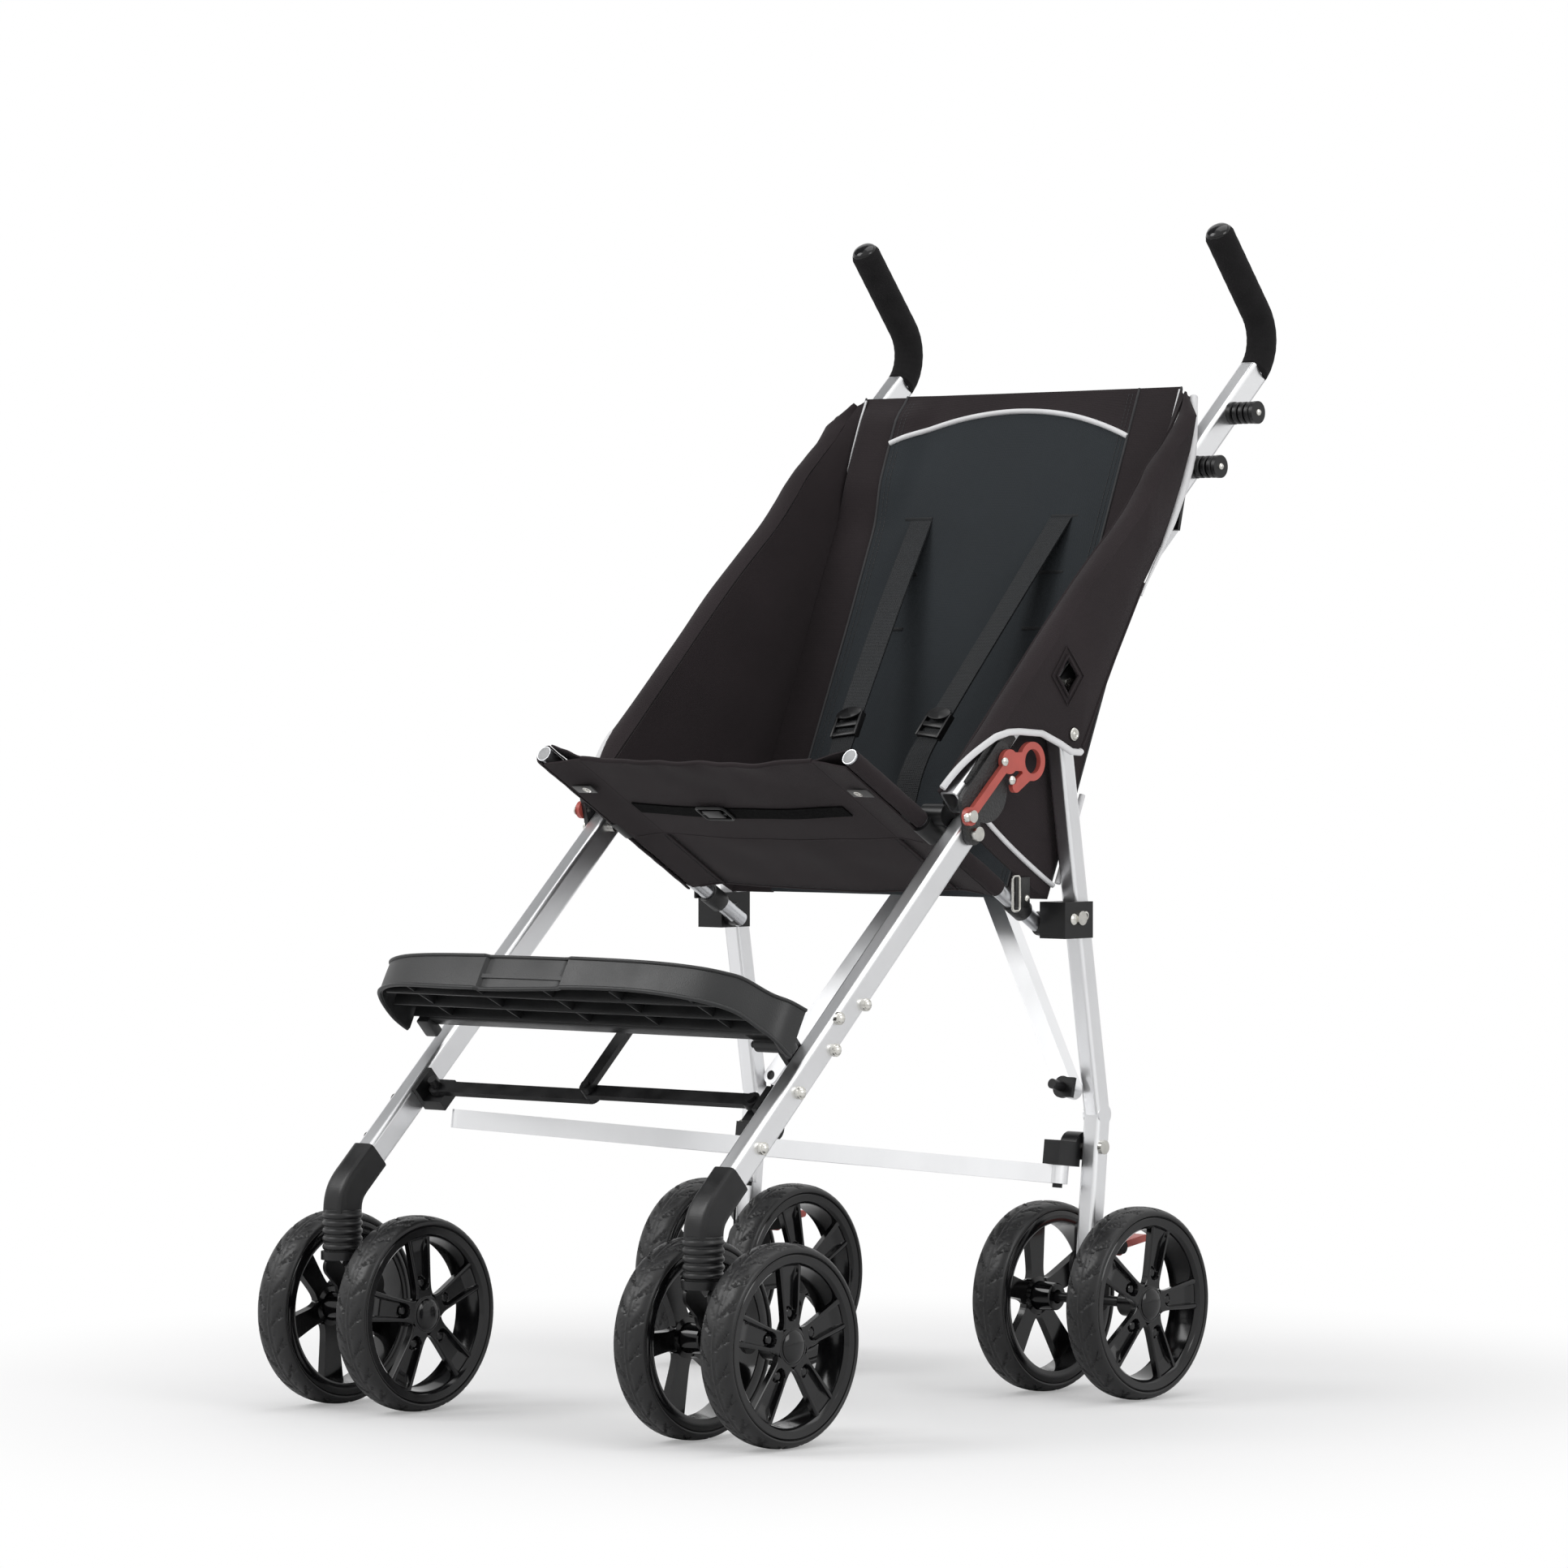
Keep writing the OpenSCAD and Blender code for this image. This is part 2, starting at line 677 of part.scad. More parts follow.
// Front link from a leg to the middle: the left one above the right one
module front_link(side) {
  n = side > 0 ? 2 : 1;
  low = (n - 1) * (link_t + face_gap);
  color(black) on_leg(side) translate([-side * (frame_half - link_pin_x), 2.4 - low, knuckle_s])
    rotate([90, 0, 0]) difference() {
      linear_extrude(link_t) {
        band([0, 0], [-side * link_pin_x, 0], link_w);
        circle(link_eye_r);
      }
      translate([0, 0, -1]) cylinder(h = link_t + 2, r = pin_r + run_gap);
      if (side > 0) translate([-link_pin_x, 0, -1]) cylinder(h = link_t + 2, r = strut_pin_r + run_gap);
    }
}

strut_pin_r = 4;
// Short strut that rises from the middle of the front links
module fold_strut() {
  color(black) on_leg(1) translate([-frame_half, 2.4 - 2 * (link_t + face_gap), knuckle_s])
    rotate([90, 0, 0]) {
    linear_extrude(link_t) difference() {
      band([0, 0], [0, 96], link_w);
      translate([0, 96]) circle(3.5);
    }
    translate([0, 0, -link_t]) cylinder(h = 2 * link_t + 3, r = strut_pin_r);
  }
}

// Fold catch on the outer face of the right front leg
hook_s = 62;
module fold_hook() {
  color(black) on_leg(-1) translate([-tube_w / 2 - face_gap, 0, 0]) rotate([0, -90, 0])
    linear_extrude(5) difference() {
    union() {
      band([hook_s + 38, 0], [hook_s, 6], 15);
      band([hook_s, 6], [hook_s - 16, -4], 9);
    }
    translate([hook_s + 38, 0]) circle(3 + run_gap);
  }
}

// Rear knuckle: pitches on the rear leg's cross pin and carries a lower bar below it
module on_knuckle(side) {
  translate([side * bar_pin_x, bar_pin_y, bar_pin_z]) rotate([-bar_pitch, 0, 0]) children();
}

module rear_knuckle(side) {
  drop = side > 0 ? 0 : bar_drop;
  color(black) difference() {
    union() {
      on_knuckle(side) translate([-10, -14, bar_h / 2 + face_gap]) cube([20, 34, knuckle_h]);
      cross_rod(side * (bar_pin_x - 10), side * (bar_pin_x + 10), knuckle_y, knuckle_z, 14);
      on_knuckle(side) translate([0, 0, -bar_h / 2 - drop - 4]) cylinder(h = bar_h + drop + 8, r = pin_r);
      on_knuckle(side) translate([0, 0, bar_h / 2 + face_gap - drop]) cylinder(h = drop + 1, r = 9);
    }
    cross_rod(side * (bar_pin_x - 11), side * (bar_pin_x + 11), knuckle_y, knuckle_z, pin_r + run_gap);
  }
}

// Flat lower bar, from a rear knuckle to the other side's front leg
module lower_bar(side) {
  drop = side > 0 ? 0 : bar_drop;
  color(alu) on_knuckle(side) translate([0, 0, -drop - bar_h / 2]) rotate([0, 0, -90 - side * bar_yaw])
    difference() {
    union() {
      translate([0, -bar_t / 2, 0]) cube([bar_len, bar_t, bar_h]);
      translate([bar_len, 0, 0]) cylinder(h = bar_h, r = bar_t / 2);
      cylinder(h = bar_h, r = 10);
    }
    translate([0, 0, -1]) cylinder(h = bar_h + 2, r = pin_r + run_gap);
  }
}

// Square rear brace, from a rear leg's foot to the other side's handle tube
module rear_brace(side) {
  color(alu) on_brace(side) translate([0, -brace_sign(side) * brace_off, 0])
    rotate([0, -side * brace_angle, 0])
    difference() {
      union() {
        translate([0, 0, 0]) linear_extrude(brace_len) square(brace_w, center = true);
        rotate([90, 0, 0]) cylinder(h = brace_w, r = brace_w / 2, center = true);
        translate([0, 0, brace_len]) rotate([90, 0, 0])
          cylinder(h = brace_w, r = brace_w / 2, center = true);
      }
      rotate([90, 0, 0]) cylinder(h = brace_w + 2, r = pin_r + run_gap, center = true);
    }
}

// Footplate: a ribbed tray on two hinge lugs in front of the legs
module on_plate() {
  translate([0, hinge_y, hinge_z]) rotate([-plate_tilt, 0, 0]) children();
}

// Outline of the tray, and of the hollow behind its rim
plate_neck = 22;
tray_rear = plate_neck + 2;
tray_corner = [66, 34];
tray_w = plate_w / 2;
tray = [
  [-tray_w, -tray_rear], [-tray_w, tray_corner.y - plate_depth], [tray_corner.x - tray_w, -plate_depth],
  [tray_w - tray_corner.x, -plate_depth], [tray_w, tray_corner.y - plate_depth], [tray_w, -tray_rear]
];
inner_corner = [tray_corner.x + 1.5 - tray_w, plate_t - plate_depth];
inner_side = [-tray_w - 1, tray_corner.y + plate_t + 0.5 - plate_depth];
hollow = [
  [-tray_w - 1, 1], inner_side, inner_corner, [-inner_corner.x, inner_corner.y],
    [-inner_side.x, inner_side.y],
  [tray_w + 1, 1]
];

module footplate() {
  rib_t = 3;
  rib_h = 14;
  narrow = 390;
  lug_x = inner_face - 6 - face_gap;
  lug_w = hinge_run - 6;
  rows = [-plate_neck - 3, -plate_neck - 26, -plate_neck - 49];
  row_half = [tray_w - 3, tray_w - 3, tray_w - 26];
  color(black) {
    difference() {
      union() {
        on_plate() {
          linear_extrude(plate_t) {
            translate([-narrow / 2, -plate_neck - 5]) square([narrow, plate_neck - 6]);
            translate([lug_x - lug_w + 1, -plate_neck - 5]) square([lug_w - 2, plate_neck + 4]);
          }
          translate([0, 0, rib_h]) linear_extrude(plate_t) polygon(tray);
        }
        cross_rod(lug_x, lug_x - lug_w, hinge_y, hinge_z, hinge_r);
      }
      cross_rod(lug_x + 1, lug_x - lug_w - 1, hinge_y, hinge_z, hinge_pin_r + run_gap);
    }
    on_plate() {
      linear_extrude(rim_h) difference() {
        polygon(tray);
        polygon(hollow);
      }
      for (side = [-1, 1]) translate([side > 0 ? tray_w - 6 : 1 - tray_w,
        tray_corner.y - plate_depth - 3, 1])
        cube([5, plate_depth - tray_corner.y - plate_neck + 2, rib_h + 1]);
      for (r = [0 : 2]) translate([-row_half[r], rows[r] - rib_t, 1])
        cube([2 * row_half[r], rib_t, rib_h]);
      for (r = [0 : 1], i = [-3 : 3]) translate([i * 64 + 32 * r - 16, rows[r + 1] - 1, 3])
        cube([rib_t, rows[r] - rows[r + 1], rib_h - 1]);
    }
    for (side = [-1, 1]) on_leg(side) translate([-8, -46, hinge_s - 16])
      cube([16, 46 - tube_d / 2 - face_gap, 12]);
  }
}

// Seat sling: sleeves on the rails and a seat that sags between them
module seat_sling() {
  s0 = 6;
  s1 = sling_len;
  gap0 = 118;
  gap1 = 158;
  edge = rail_half - rail_d / 2 - 1;
  notch = edge - 8;
  along = function(s) [rail_y + s * cos(seat_tilt), rail_z - s * sin(seat_tilt)];
  seat = function(u, v) let (
      s = mix(s0, s1, v), p = along(s), k = 1 - pow(2 * u - 1, 2),
      e = s > gap0 && s < gap1 ? notch : edge
    ) [mix(-e, e, u), p.x, p.y + 3 - seat_sag * k];
  color(cloth) {
    sheet(seat, 12, 16, [0, 0, -cloth_t]);
    for (side = [-1, 1], run = [[s0, gap0], [gap1, s1]]) on_rail(side) translate([0, 0, run[0]])
      difference() {
      cylinder(h = run[1] - run[0], r = rail_d / 2 + 3);
      translate([0, 0, -1]) cylinder(h = run[1] - run[0] + 2, r = rail_d / 2 + 0.4);
    }
  }
}

// Back cover: a panel that hangs behind the handle tubes, with a pocket over each tube
panel_low = [222, 492];
panel_top = [440, 1003];
edge_low = [30, 606];
edge_mid = [234, 803];
edge_top = [414, 1000];
function fold_edge(v) = v < 0.5 ? mix(edge_low, edge_mid, 2 * v) : mix(edge_mid, edge_top, 2 * v - 1);
wing_x = plate_x + lock_plate_t + face_gap + cloth_t;
function back_panel(u, v) =
  let (
    w = 2 * u - 1,
    a = abs(w),
    side = w < 0 ? -1 : 1,
    bow = 4 * sin(180 * v),
    p = mix(panel_low, panel_top, v) + [bow, 0],
    e = fold_edge(v),
    dish = 6 * (1 - pow(min(a / 0.7, 1), 2)),
    t = (a - 0.7) / 0.2
  )
  a <= 0.7 ? [w / 0.7 * panel_half, p.x + dish, p.y] :
  a <= 0.9 ? concat(side * mix(panel_half, inner_face - 4, t), mix(p, e, t)) :
  concat(side * mix(inner_face - 4, wing_x, (a - 0.9) / 0.1), e);

module back_cover() {
  color(cloth) {
    sheet(function(u, v) back_panel(u, v), 20, 12, [0, 4, -3]);
    for (side = [-1, 1]) side_plate(wing_x - cloth_t, cloth_t, side) difference() {
      polygon([[84, 646], fold_edge(0.15), edge_mid, edge_top, [426, 1002], [408, 966], [382, 915],
        [368, 868],
        [350, 838], [322, 804], [273, 730], [226, 650], [217, 638], [203, 639], [185, 647], [157, 657],
          [123, 659]]);
      translate([196, 712]) rotate(45) square(34, center = true);
    }
  }
}

// Shoulder straps with their slide buckles
strap_path = [[92, 395.5, 872], [78, 322, 780], [58, 240, 664], [46, 217, 610], [40, 196, 558],
  [38, 158, 502.6]];
module harness() {
  last = len(strap_path) - 1;
  at = function(v) let (i = min(floor(v * last), last - 1))
    mix(strap_path[i], strap_path[i + 1], v * last - i);
  color(web) for (side = [-1, 1]) {
    sheet(
      function(u, v) let (p = at(v)) [side * p[0] + (0.5 - u) * strap_w, p[1] - 6, p[2]],
      2, 10, [0, 1.4, -0.8]);
    translate([side * 56, 229, 660]) rotate([-62, 0, 0]) rotate([90, 0, 0]) difference() {
      translate([0, 0, -3]) linear_extrude(6) round_rect(strap_w + 10, 28, 4);
      for (y = [-7, 7]) translate([0, y, -4]) linear_extrude(8) round_rect(strap_w + 2, 6, 1);
    }
  }
}

module show(name) {
  translate([0, -mid_y, 0]) children();
}

for (side = [1, -1]) {
  tag = side > 0 ? "_left" : "_right";
  show(str("handle_tube", tag)) handle_tube(side);
  show(str("grip", tag)) grip(side);
  show(str("rear_leg", tag)) rear_leg(side);
  show(str("front_leg", tag)) front_leg(side);
  show(str("seat_rail", tag)) seat_rail(side);
  show(str("lock_bracket", tag)) lock_bracket(side);
  show(str("lock_lever", tag)) lock_lever(side);
  show(str("frame_fittings", tag)) frame_fittings(side);
  show(str("frame_bolts", tag)) frame_bolts(side);
  show(str("caster_socket", tag)) caster_socket(side);
  show(str("caster_boot", tag)) caster_boot(side);
  show(str("caster_fork", tag)) caster_fork(side);
  show(str("rear_bracket", tag)) rear_bracket(side);
  show(str("brake_pedal", tag)) brake_pedal(side);
  show(str("front_knuckle", tag)) front_knuckle(side);
  show(str("rear_knuckle", tag)) rear_knuckle(side);
  show(str("lower_bar", tag)) lower_bar(side);
  show(str("rear_brace", tag)) rear_brace(side);
  show(str("front_link", tag)) front_link(side);
  for (rear = [false, true], out = [1, -1]) {
    show(str(rear ? "rear" : "front", "_tyre", out > 0 ? "_outer" : "_inner", tag))
      translate(wheel_at(side, rear, out)) tyre();
    show(str(rear ? "rear" : "front", "_rim", out > 0 ? "_outer" : "_inner", tag))
      translate(wheel_at(side, rear, out)) wheel_rim(side * out);
  }
}
show("fold_strut") fold_strut();
show("fold_hook") fold_hook();
show("footplate") footplate();
show("back_cover") back_cover();
show("seat_sling") seat_sling();
show("harness") harness();
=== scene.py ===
import math

import bmesh
import bpy
import numpy as np
from mathutils import Matrix, Vector, noise


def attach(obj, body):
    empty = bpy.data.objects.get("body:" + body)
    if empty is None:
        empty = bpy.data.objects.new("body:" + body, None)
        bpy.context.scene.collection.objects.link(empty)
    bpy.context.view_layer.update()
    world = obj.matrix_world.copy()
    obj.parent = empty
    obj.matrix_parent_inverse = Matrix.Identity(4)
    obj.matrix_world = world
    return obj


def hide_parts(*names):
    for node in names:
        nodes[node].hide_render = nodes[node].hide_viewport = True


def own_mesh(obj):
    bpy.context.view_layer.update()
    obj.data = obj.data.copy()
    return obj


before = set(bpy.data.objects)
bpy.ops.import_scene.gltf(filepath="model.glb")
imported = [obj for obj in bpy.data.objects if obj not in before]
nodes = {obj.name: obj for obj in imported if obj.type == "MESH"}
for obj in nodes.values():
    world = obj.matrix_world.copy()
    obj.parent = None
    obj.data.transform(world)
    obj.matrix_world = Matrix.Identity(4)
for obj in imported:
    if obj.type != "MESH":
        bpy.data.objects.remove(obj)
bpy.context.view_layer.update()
bpy.context.scene.view_settings.view_transform = "Standard"

# Sizes are in mm from the middle between the axles; the frame's middle lies this far behind it
midY = 93.8656
toFrame = Matrix.Diagonal((0.001, 0.001, 0.001, 1)) @ Matrix.Translation((0, -midY, 0))
sides = (("left", 1), ("right", -1))
frameHalf = 234


def mix(a, b, t):
    return a + (b - a) * t


def ease(low, high, value):
    t = min(1.0, max(0.0, (value - low) / (high - low)))
    return t * t * (3 - 2 * t)


# Materials
def makeMaterial(name, color, rough, metal=0.0, cloud=9.0, spread=0.12, grain=900.0, bump=0.15, depth=0.0004,
                 roughSpread=0.08, stretch=(1, 1, 1), weave=None, **sockets):
    mat = bpy.data.materials.new(name)
    mat.use_nodes = True
    tree = mat.node_tree
    shader = tree.nodes["Principled BSDF"]
    shader.inputs["Metallic"].default_value = metal
    for key, value in sockets.items():
        shader.inputs[key.replace("_", " ")].default_value = value
    coords = tree.nodes.new("ShaderNodeTexCoord")
    mapping = tree.nodes.new("ShaderNodeMapping")
    mapping.inputs["Scale"].default_value = stretch
    tree.links.new(coords.outputs["Object"], mapping.inputs["Vector"])
    clouds = tree.nodes.new("ShaderNodeTexNoise")
    clouds.inputs["Scale"].default_value = cloud
    clouds.inputs["Detail"].default_value = 6
    tree.links.new(mapping.outputs["Vector"], clouds.inputs["Vector"])
    ramp = tree.nodes.new("ShaderNodeValToRGB")
    ramp.color_ramp.elements[0].position = 0.3
    ramp.color_ramp.elements[1].position = 0.7
    ramp.color_ramp.elements[0].color = (*[c * (1 - spread) for c in color], 1)
    ramp.color_ramp.elements[1].color = (*[min(1, c * (1 + spread)) for c in color], 1)
    tree.links.new(clouds.outputs["Fac"], ramp.inputs["Fac"])
    tree.links.new(ramp.outputs["Color"], shader.inputs["Base Color"])
    span = tree.nodes.new("ShaderNodeMapRange")
    span.inputs["From Min"].default_value = 0.3
    span.inputs["From Max"].default_value = 0.7
    span.inputs["To Min"].default_value = max(0.02, rough - roughSpread)
    span.inputs["To Max"].default_value = min(1.0, rough + roughSpread)
    tree.links.new(clouds.outputs["Fac"], span.inputs["Value"])
    tree.links.new(span.outputs["Result"], shader.inputs["Roughness"])
    fine = tree.nodes.new("ShaderNodeTexNoise")
    fine.inputs["Scale"].default_value = grain
    fine.inputs["Detail"].default_value = 3
    tree.links.new(mapping.outputs["Vector"], fine.inputs["Vector"])
    height = fine.outputs["Fac"]
    if weave:
        bands = []
        for direction in ("X", "Y"):
            wave = tree.nodes.new("ShaderNodeTexWave")
            wave.wave_type = "BANDS"
            wave.bands_direction = direction
            wave.inputs["Scale"].default_value = 2 * math.pi / (20 * weave[0])
            wave.inputs["Distortion"].default_value = weave[1]
            tree.links.new(coords.outputs["UV"], wave.inputs["Vector"])
            bands.append(wave)
        cross = tree.nodes.new("ShaderNodeMath")
        cross.operation = "MULTIPLY"
        tree.links.new(bands[0].outputs["Fac"], cross.inputs[0])
        tree.links.new(bands[1].outputs["Fac"], cross.inputs[1])
        total = tree.nodes.new("ShaderNodeMath")
        total.operation = "ADD"
        tree.links.new(cross.outputs[0], total.inputs[0])
        tree.links.new(height, total.inputs[1])
        height = total.outputs[0]
    relief = tree.nodes.new("ShaderNodeBump")
    relief.inputs["Strength"].default_value = bump
    relief.inputs["Distance"].default_value = depth
    tree.links.new(height, relief.inputs["Height"])
    tree.links.new(relief.outputs["Normal"], shader.inputs["Normal"])
    return mat


brushedTube = makeMaterial("brushedTube", (0.83, 0.835, 0.845), 0.3, 1.0, cloud=30, spread=0.03,
                           grain=500, bump=0.01, roughSpread=0.02, depth=0.0002, stretch=(1, 0.25, 0.25))
railTube = makeMaterial("railTube", (0.6, 0.61, 0.63), 0.32, 1.0, cloud=40, spread=0.05, grain=700,
                        bump=0.05, depth=0.0002)
zincBolt = makeMaterial("zincBolt", (0.66, 0.65, 0.61), 0.22, 1.0, cloud=120, spread=0.1, grain=900,
                        bump=0.05, depth=0.0002)
mouldedBlack = makeMaterial("mouldedBlack", (0.008, 0.008, 0.0085), 0.36, cloud=40, spread=0.2,
                            grain=1400, bump=0.12, depth=0.0003, Specular_IOR_Level=0.35)
footplateBlack = makeMaterial("footplateBlack", (0.014, 0.0145, 0.015), 0.42, cloud=20, spread=0.15,
                              grain=900, bump=0.35, depth=0.0006, Specular_IOR_Level=0.45)
rimGloss = makeMaterial("rimGloss", (0.004, 0.004, 0.0045), 0.14, cloud=25, spread=0.2, grain=60,
                        bump=0.03, depth=0.0004, roughSpread=0.04, Specular_IOR_Level=0.4)
plugGrey = makeMaterial("plugGrey", (0.42, 0.425, 0.43), 0.55, cloud=60, spread=0.16, grain=600, bump=0.2)
tyreRubber = makeMaterial("tyreRubber", (0.010, 0.010, 0.0105), 0.42, cloud=24, spread=0.2, grain=700,
                          bump=0.2, depth=0.0003, Specular_IOR_Level=0.4)
bootRubber = makeMaterial("bootRubber", (0.008, 0.008, 0.0085), 0.42, cloud=40, spread=0.2, grain=900,
                          bump=0.15, depth=0.0003, Specular_IOR_Level=0.4)
gripFoam = makeMaterial("gripFoam", (0.012, 0.0115, 0.012), 0.95, cloud=50, spread=0.25, grain=1100,
                        bump=0.6, depth=0.0008, roughSpread=0.03, Specular_IOR_Level=0.2)
crackleBlack = makeMaterial("crackleBlack", (0.016, 0.016, 0.0165), 0.45, cloud=60, spread=0.3, grain=420,
                            bump=0.9, depth=0.0012)
redEnamel = makeMaterial("redEnamel", (0.5, 0.095, 0.075), 0.4, cloud=60, spread=0.08, grain=700,
                         bump=0.06, depth=0.0002)
sideCloth = makeMaterial("sideCloth", (0.026, 0.0205, 0.0222), 0.9, cloud=11, spread=0.16, grain=900,
                         bump=0.45, depth=0.0005, roughSpread=0.04, weave=(0.0014, 0.6),
                         Specular_IOR_Level=0.15, Sheen_Weight=0.05, Sheen_Roughness=0.5)
backCloth = makeMaterial("backCloth", (0.0275, 0.0322, 0.0362), 0.85, cloud=9, spread=0.12, grain=900,
                         bump=0.45, depth=0.0005, roughSpread=0.04, weave=(0.0018, 0.4),
                         Specular_IOR_Level=0.15, Sheen_Weight=0.05, Sheen_Roughness=0.5)
webbing = makeMaterial("webbing", (0.013, 0.0145, 0.016), 0.6, cloud=40, spread=0.2, grain=800, bump=0.8,
                       depth=0.0008, weave=(0.0024, 0.2), Specular_IOR_Level=0.3)
whitePiping = makeMaterial("whitePiping", (0.78, 0.78, 0.79), 0.55, cloud=40, spread=0.05, grain=1200,
                           bump=0.2, depth=0.0003)
seamThread = makeMaterial("seamThread", (0.02, 0.02, 0.022), 0.7, cloud=40, spread=0.1, grain=1500,
                          bump=0.2, depth=0.0002)
tabLeather = makeMaterial("tabLeather", (0.06, 0.059, 0.058), 0.45, cloud=60, spread=0.25, grain=500,
                          bump=0.4, depth=0.0005)
strapLeather = makeMaterial("strapLeather", (0.006, 0.006, 0.0062), 0.4, cloud=60, spread=0.25, grain=500,
                            bump=0.4, depth=0.0005)
loopTape = makeMaterial("loopTape", (0.004, 0.004, 0.0042), 1.0, cloud=300, spread=0.5, grain=900,
                        bump=0.9, depth=0.0012, roughSpread=0.0, Specular_IOR_Level=0.1)

nodeFinish = {
    "handle_tube": brushedTube, "rear_leg": brushedTube, "front_leg": brushedTube, "lower_bar": brushedTube,
    "rear_brace": brushedTube, "seat_rail": railTube, "frame_bolts": zincBolt, "lock_bracket": crackleBlack,
    "lock_lever": redEnamel, "brake_pedal": redEnamel, "caster_boot": bootRubber, "footplate": footplateBlack,
    "grip": gripFoam, "back_cover": sideCloth, "seat_sling": sideCloth, "harness": webbing,
    "front_tyre": tyreRubber, "rear_tyre": tyreRubber, "front_rim": rimGloss, "rear_rim": rimGloss,
}
for nodeName, nodeObject in nodes.items():
    finish = next((m for key, m in nodeFinish.items() if nodeName.startswith(key)), mouldedBlack)
    nodeObject.data.materials.clear()
    nodeObject.data.materials.append(finish)
print("materials", len(bpy.data.materials))


# Camera, at the photograph's place
camera = bpy.data.objects.new("camera", bpy.data.cameras.new("camera"))
camera.data.lens = 149.07
camera.data.sensor_width = 36
camera.data.clip_end = 60
camera.location = toFrame @ Vector((4206.6, -4773.0, 707.9))
camera.rotation_euler = (math.radians(89.083), 0, math.radians(41))
bpy.context.scene.collection.objects.link(camera)
bpy.context.scene.camera = camera

# Floor, soft light and white surroundings
def stagePlane(name, segments, size, mat):
    shape = bmesh.new()
    bmesh.ops.create_grid(shape, x_segments=segments, y_segments=segments, size=size)
    mesh = bpy.data.meshes.new(name)
    shape.to_mesh(mesh)
    shape.free()
    mesh.materials.append(mat)
    plane = bpy.data.objects.new(name, mesh)
    bpy.context.scene.collection.objects.link(plane)
    return plane


floorFade = {"from": 0.5, "to": 1.1, "least": 0.3}
paleFloor = makeMaterial("paleFloor", (0.95, 0.95, 0.955), 0.7, cloud=0.6, spread=0.01, grain=40,
                         bump=0.02)
tree = paleFloor.node_tree
coords = tree.nodes.new("ShaderNodeTexCoord")
away = tree.nodes.new("ShaderNodeVectorMath")
away.operation = "LENGTH"
tree.links.new(coords.outputs["Object"], away.inputs[0])
fade = tree.nodes.new("ShaderNodeMapRange")
fade.interpolation_type = "SMOOTHSTEP"
fade.inputs["From Min"].default_value = floorFade["from"]
fade.inputs["From Max"].default_value = floorFade["to"]
fade.inputs["To Min"].default_value = floorFade["least"]
tree.links.new(away.outputs["Value"], fade.inputs["Value"])
seen = tree.nodes.new("ShaderNodeMath")
seen.operation = "MULTIPLY"
tree.links.new(fade.outputs["Result"], seen.inputs[0])
tree.links.new(tree.nodes.new("ShaderNodeLightPath").outputs["Is Camera Ray"], seen.inputs[1])
backdrop = tree.nodes.new("ShaderNodeEmission")
blend = tree.nodes.new("ShaderNodeMixShader")
tree.links.new(seen.outputs[0], blend.inputs["Fac"])
tree.links.new(tree.nodes["Principled BSDF"].outputs[0], blend.inputs[1])
tree.links.new(backdrop.outputs[0], blend.inputs[2])
tree.links.new(blend.outputs[0], tree.nodes["Material Output"].inputs["Surface"])
stagePlane("floor", 2, 30, paleFloor)

world = bpy.data.worlds.new("studio")
world.use_nodes = True
bpy.context.scene.world = world
tree = world.node_tree
soft = tree.nodes["Background"]
soft.inputs["Color"].default_value = (1, 1, 1, 1)
soft.inputs["Strength"].default_value = 0.38
white = tree.nodes.new("ShaderNodeBackground")
white.inputs["Color"].default_value = (1, 1, 1, 1)
white.inputs["Strength"].default_value = 1.0
rays = tree.nodes.new("ShaderNodeLightPath")
shown = [rays.outputs["Is Camera Ray"], rays.outputs["Is Glossy Ray"], rays.outputs["Is Transmission Ray"]]
for _ in range(2):
    either = tree.nodes.new("ShaderNodeMath")
    either.operation = "MAXIMUM"
    tree.links.new(shown.pop(0), either.inputs[0])
    tree.links.new(shown.pop(0), either.inputs[1])
    shown.append(either.outputs[0])
choose = tree.nodes.new("ShaderNodeMixShader")
tree.links.new(shown[0], choose.inputs["Fac"])
tree.links.new(soft.outputs[0], choose.inputs[1])
tree.links.new(white.outputs[0], choose.inputs[2])
tree.links.new(choose.outputs[0], tree.nodes["World Output"].inputs["Surface"])

lampAim = Vector((0, 0, 0.55))
lamps = {
    "key": {"at": (-2.4, -3.0, 3.6), "size": 2.4, "power": 90},
    "side": {"at": (3.8, -0.4, 2.4), "size": 2.0, "power": 45},
    "top": {"at": (0.3, 0.5, 4.2), "size": 3.0, "power": 42},
}
for lampName, spec in lamps.items():
    data = bpy.data.lights.new(lampName, "AREA")
    data.size = spec["size"]
    data.energy = spec["power"]
    lamp = bpy.data.objects.new(lampName, data)
    lamp.location = spec["at"]
    lamp.rotation_euler = (lampAim - lamp.location).to_track_quat("-Z", "Y").to_euler()
    bpy.context.scene.collection.objects.link(lamp)

# A grey card over the far side, out of the picture, for the tubes' upper faces to mirror
greyCard = makeMaterial("greyCard", (0.24, 0.245, 0.25), 0.9, cloud=1.2, spread=0.25)
card = stagePlane("card", 1, 1.1, greyCard)
card.location = (-2.0, 0.0, 2.9)
card.rotation_euler = (Vector((0, 0, 0.5)) - card.location).to_track_quat("-Z", "Y").to_euler()
card.visible_camera = False
card.visible_diffuse = False
card.visible_shadow = False
print("camera and light")


# Mesh helpers, all in millimetres until finishPiece
def placed(shape, matrix):
    bmesh.ops.transform(shape, matrix=matrix, verts=shape.verts)
    return shape


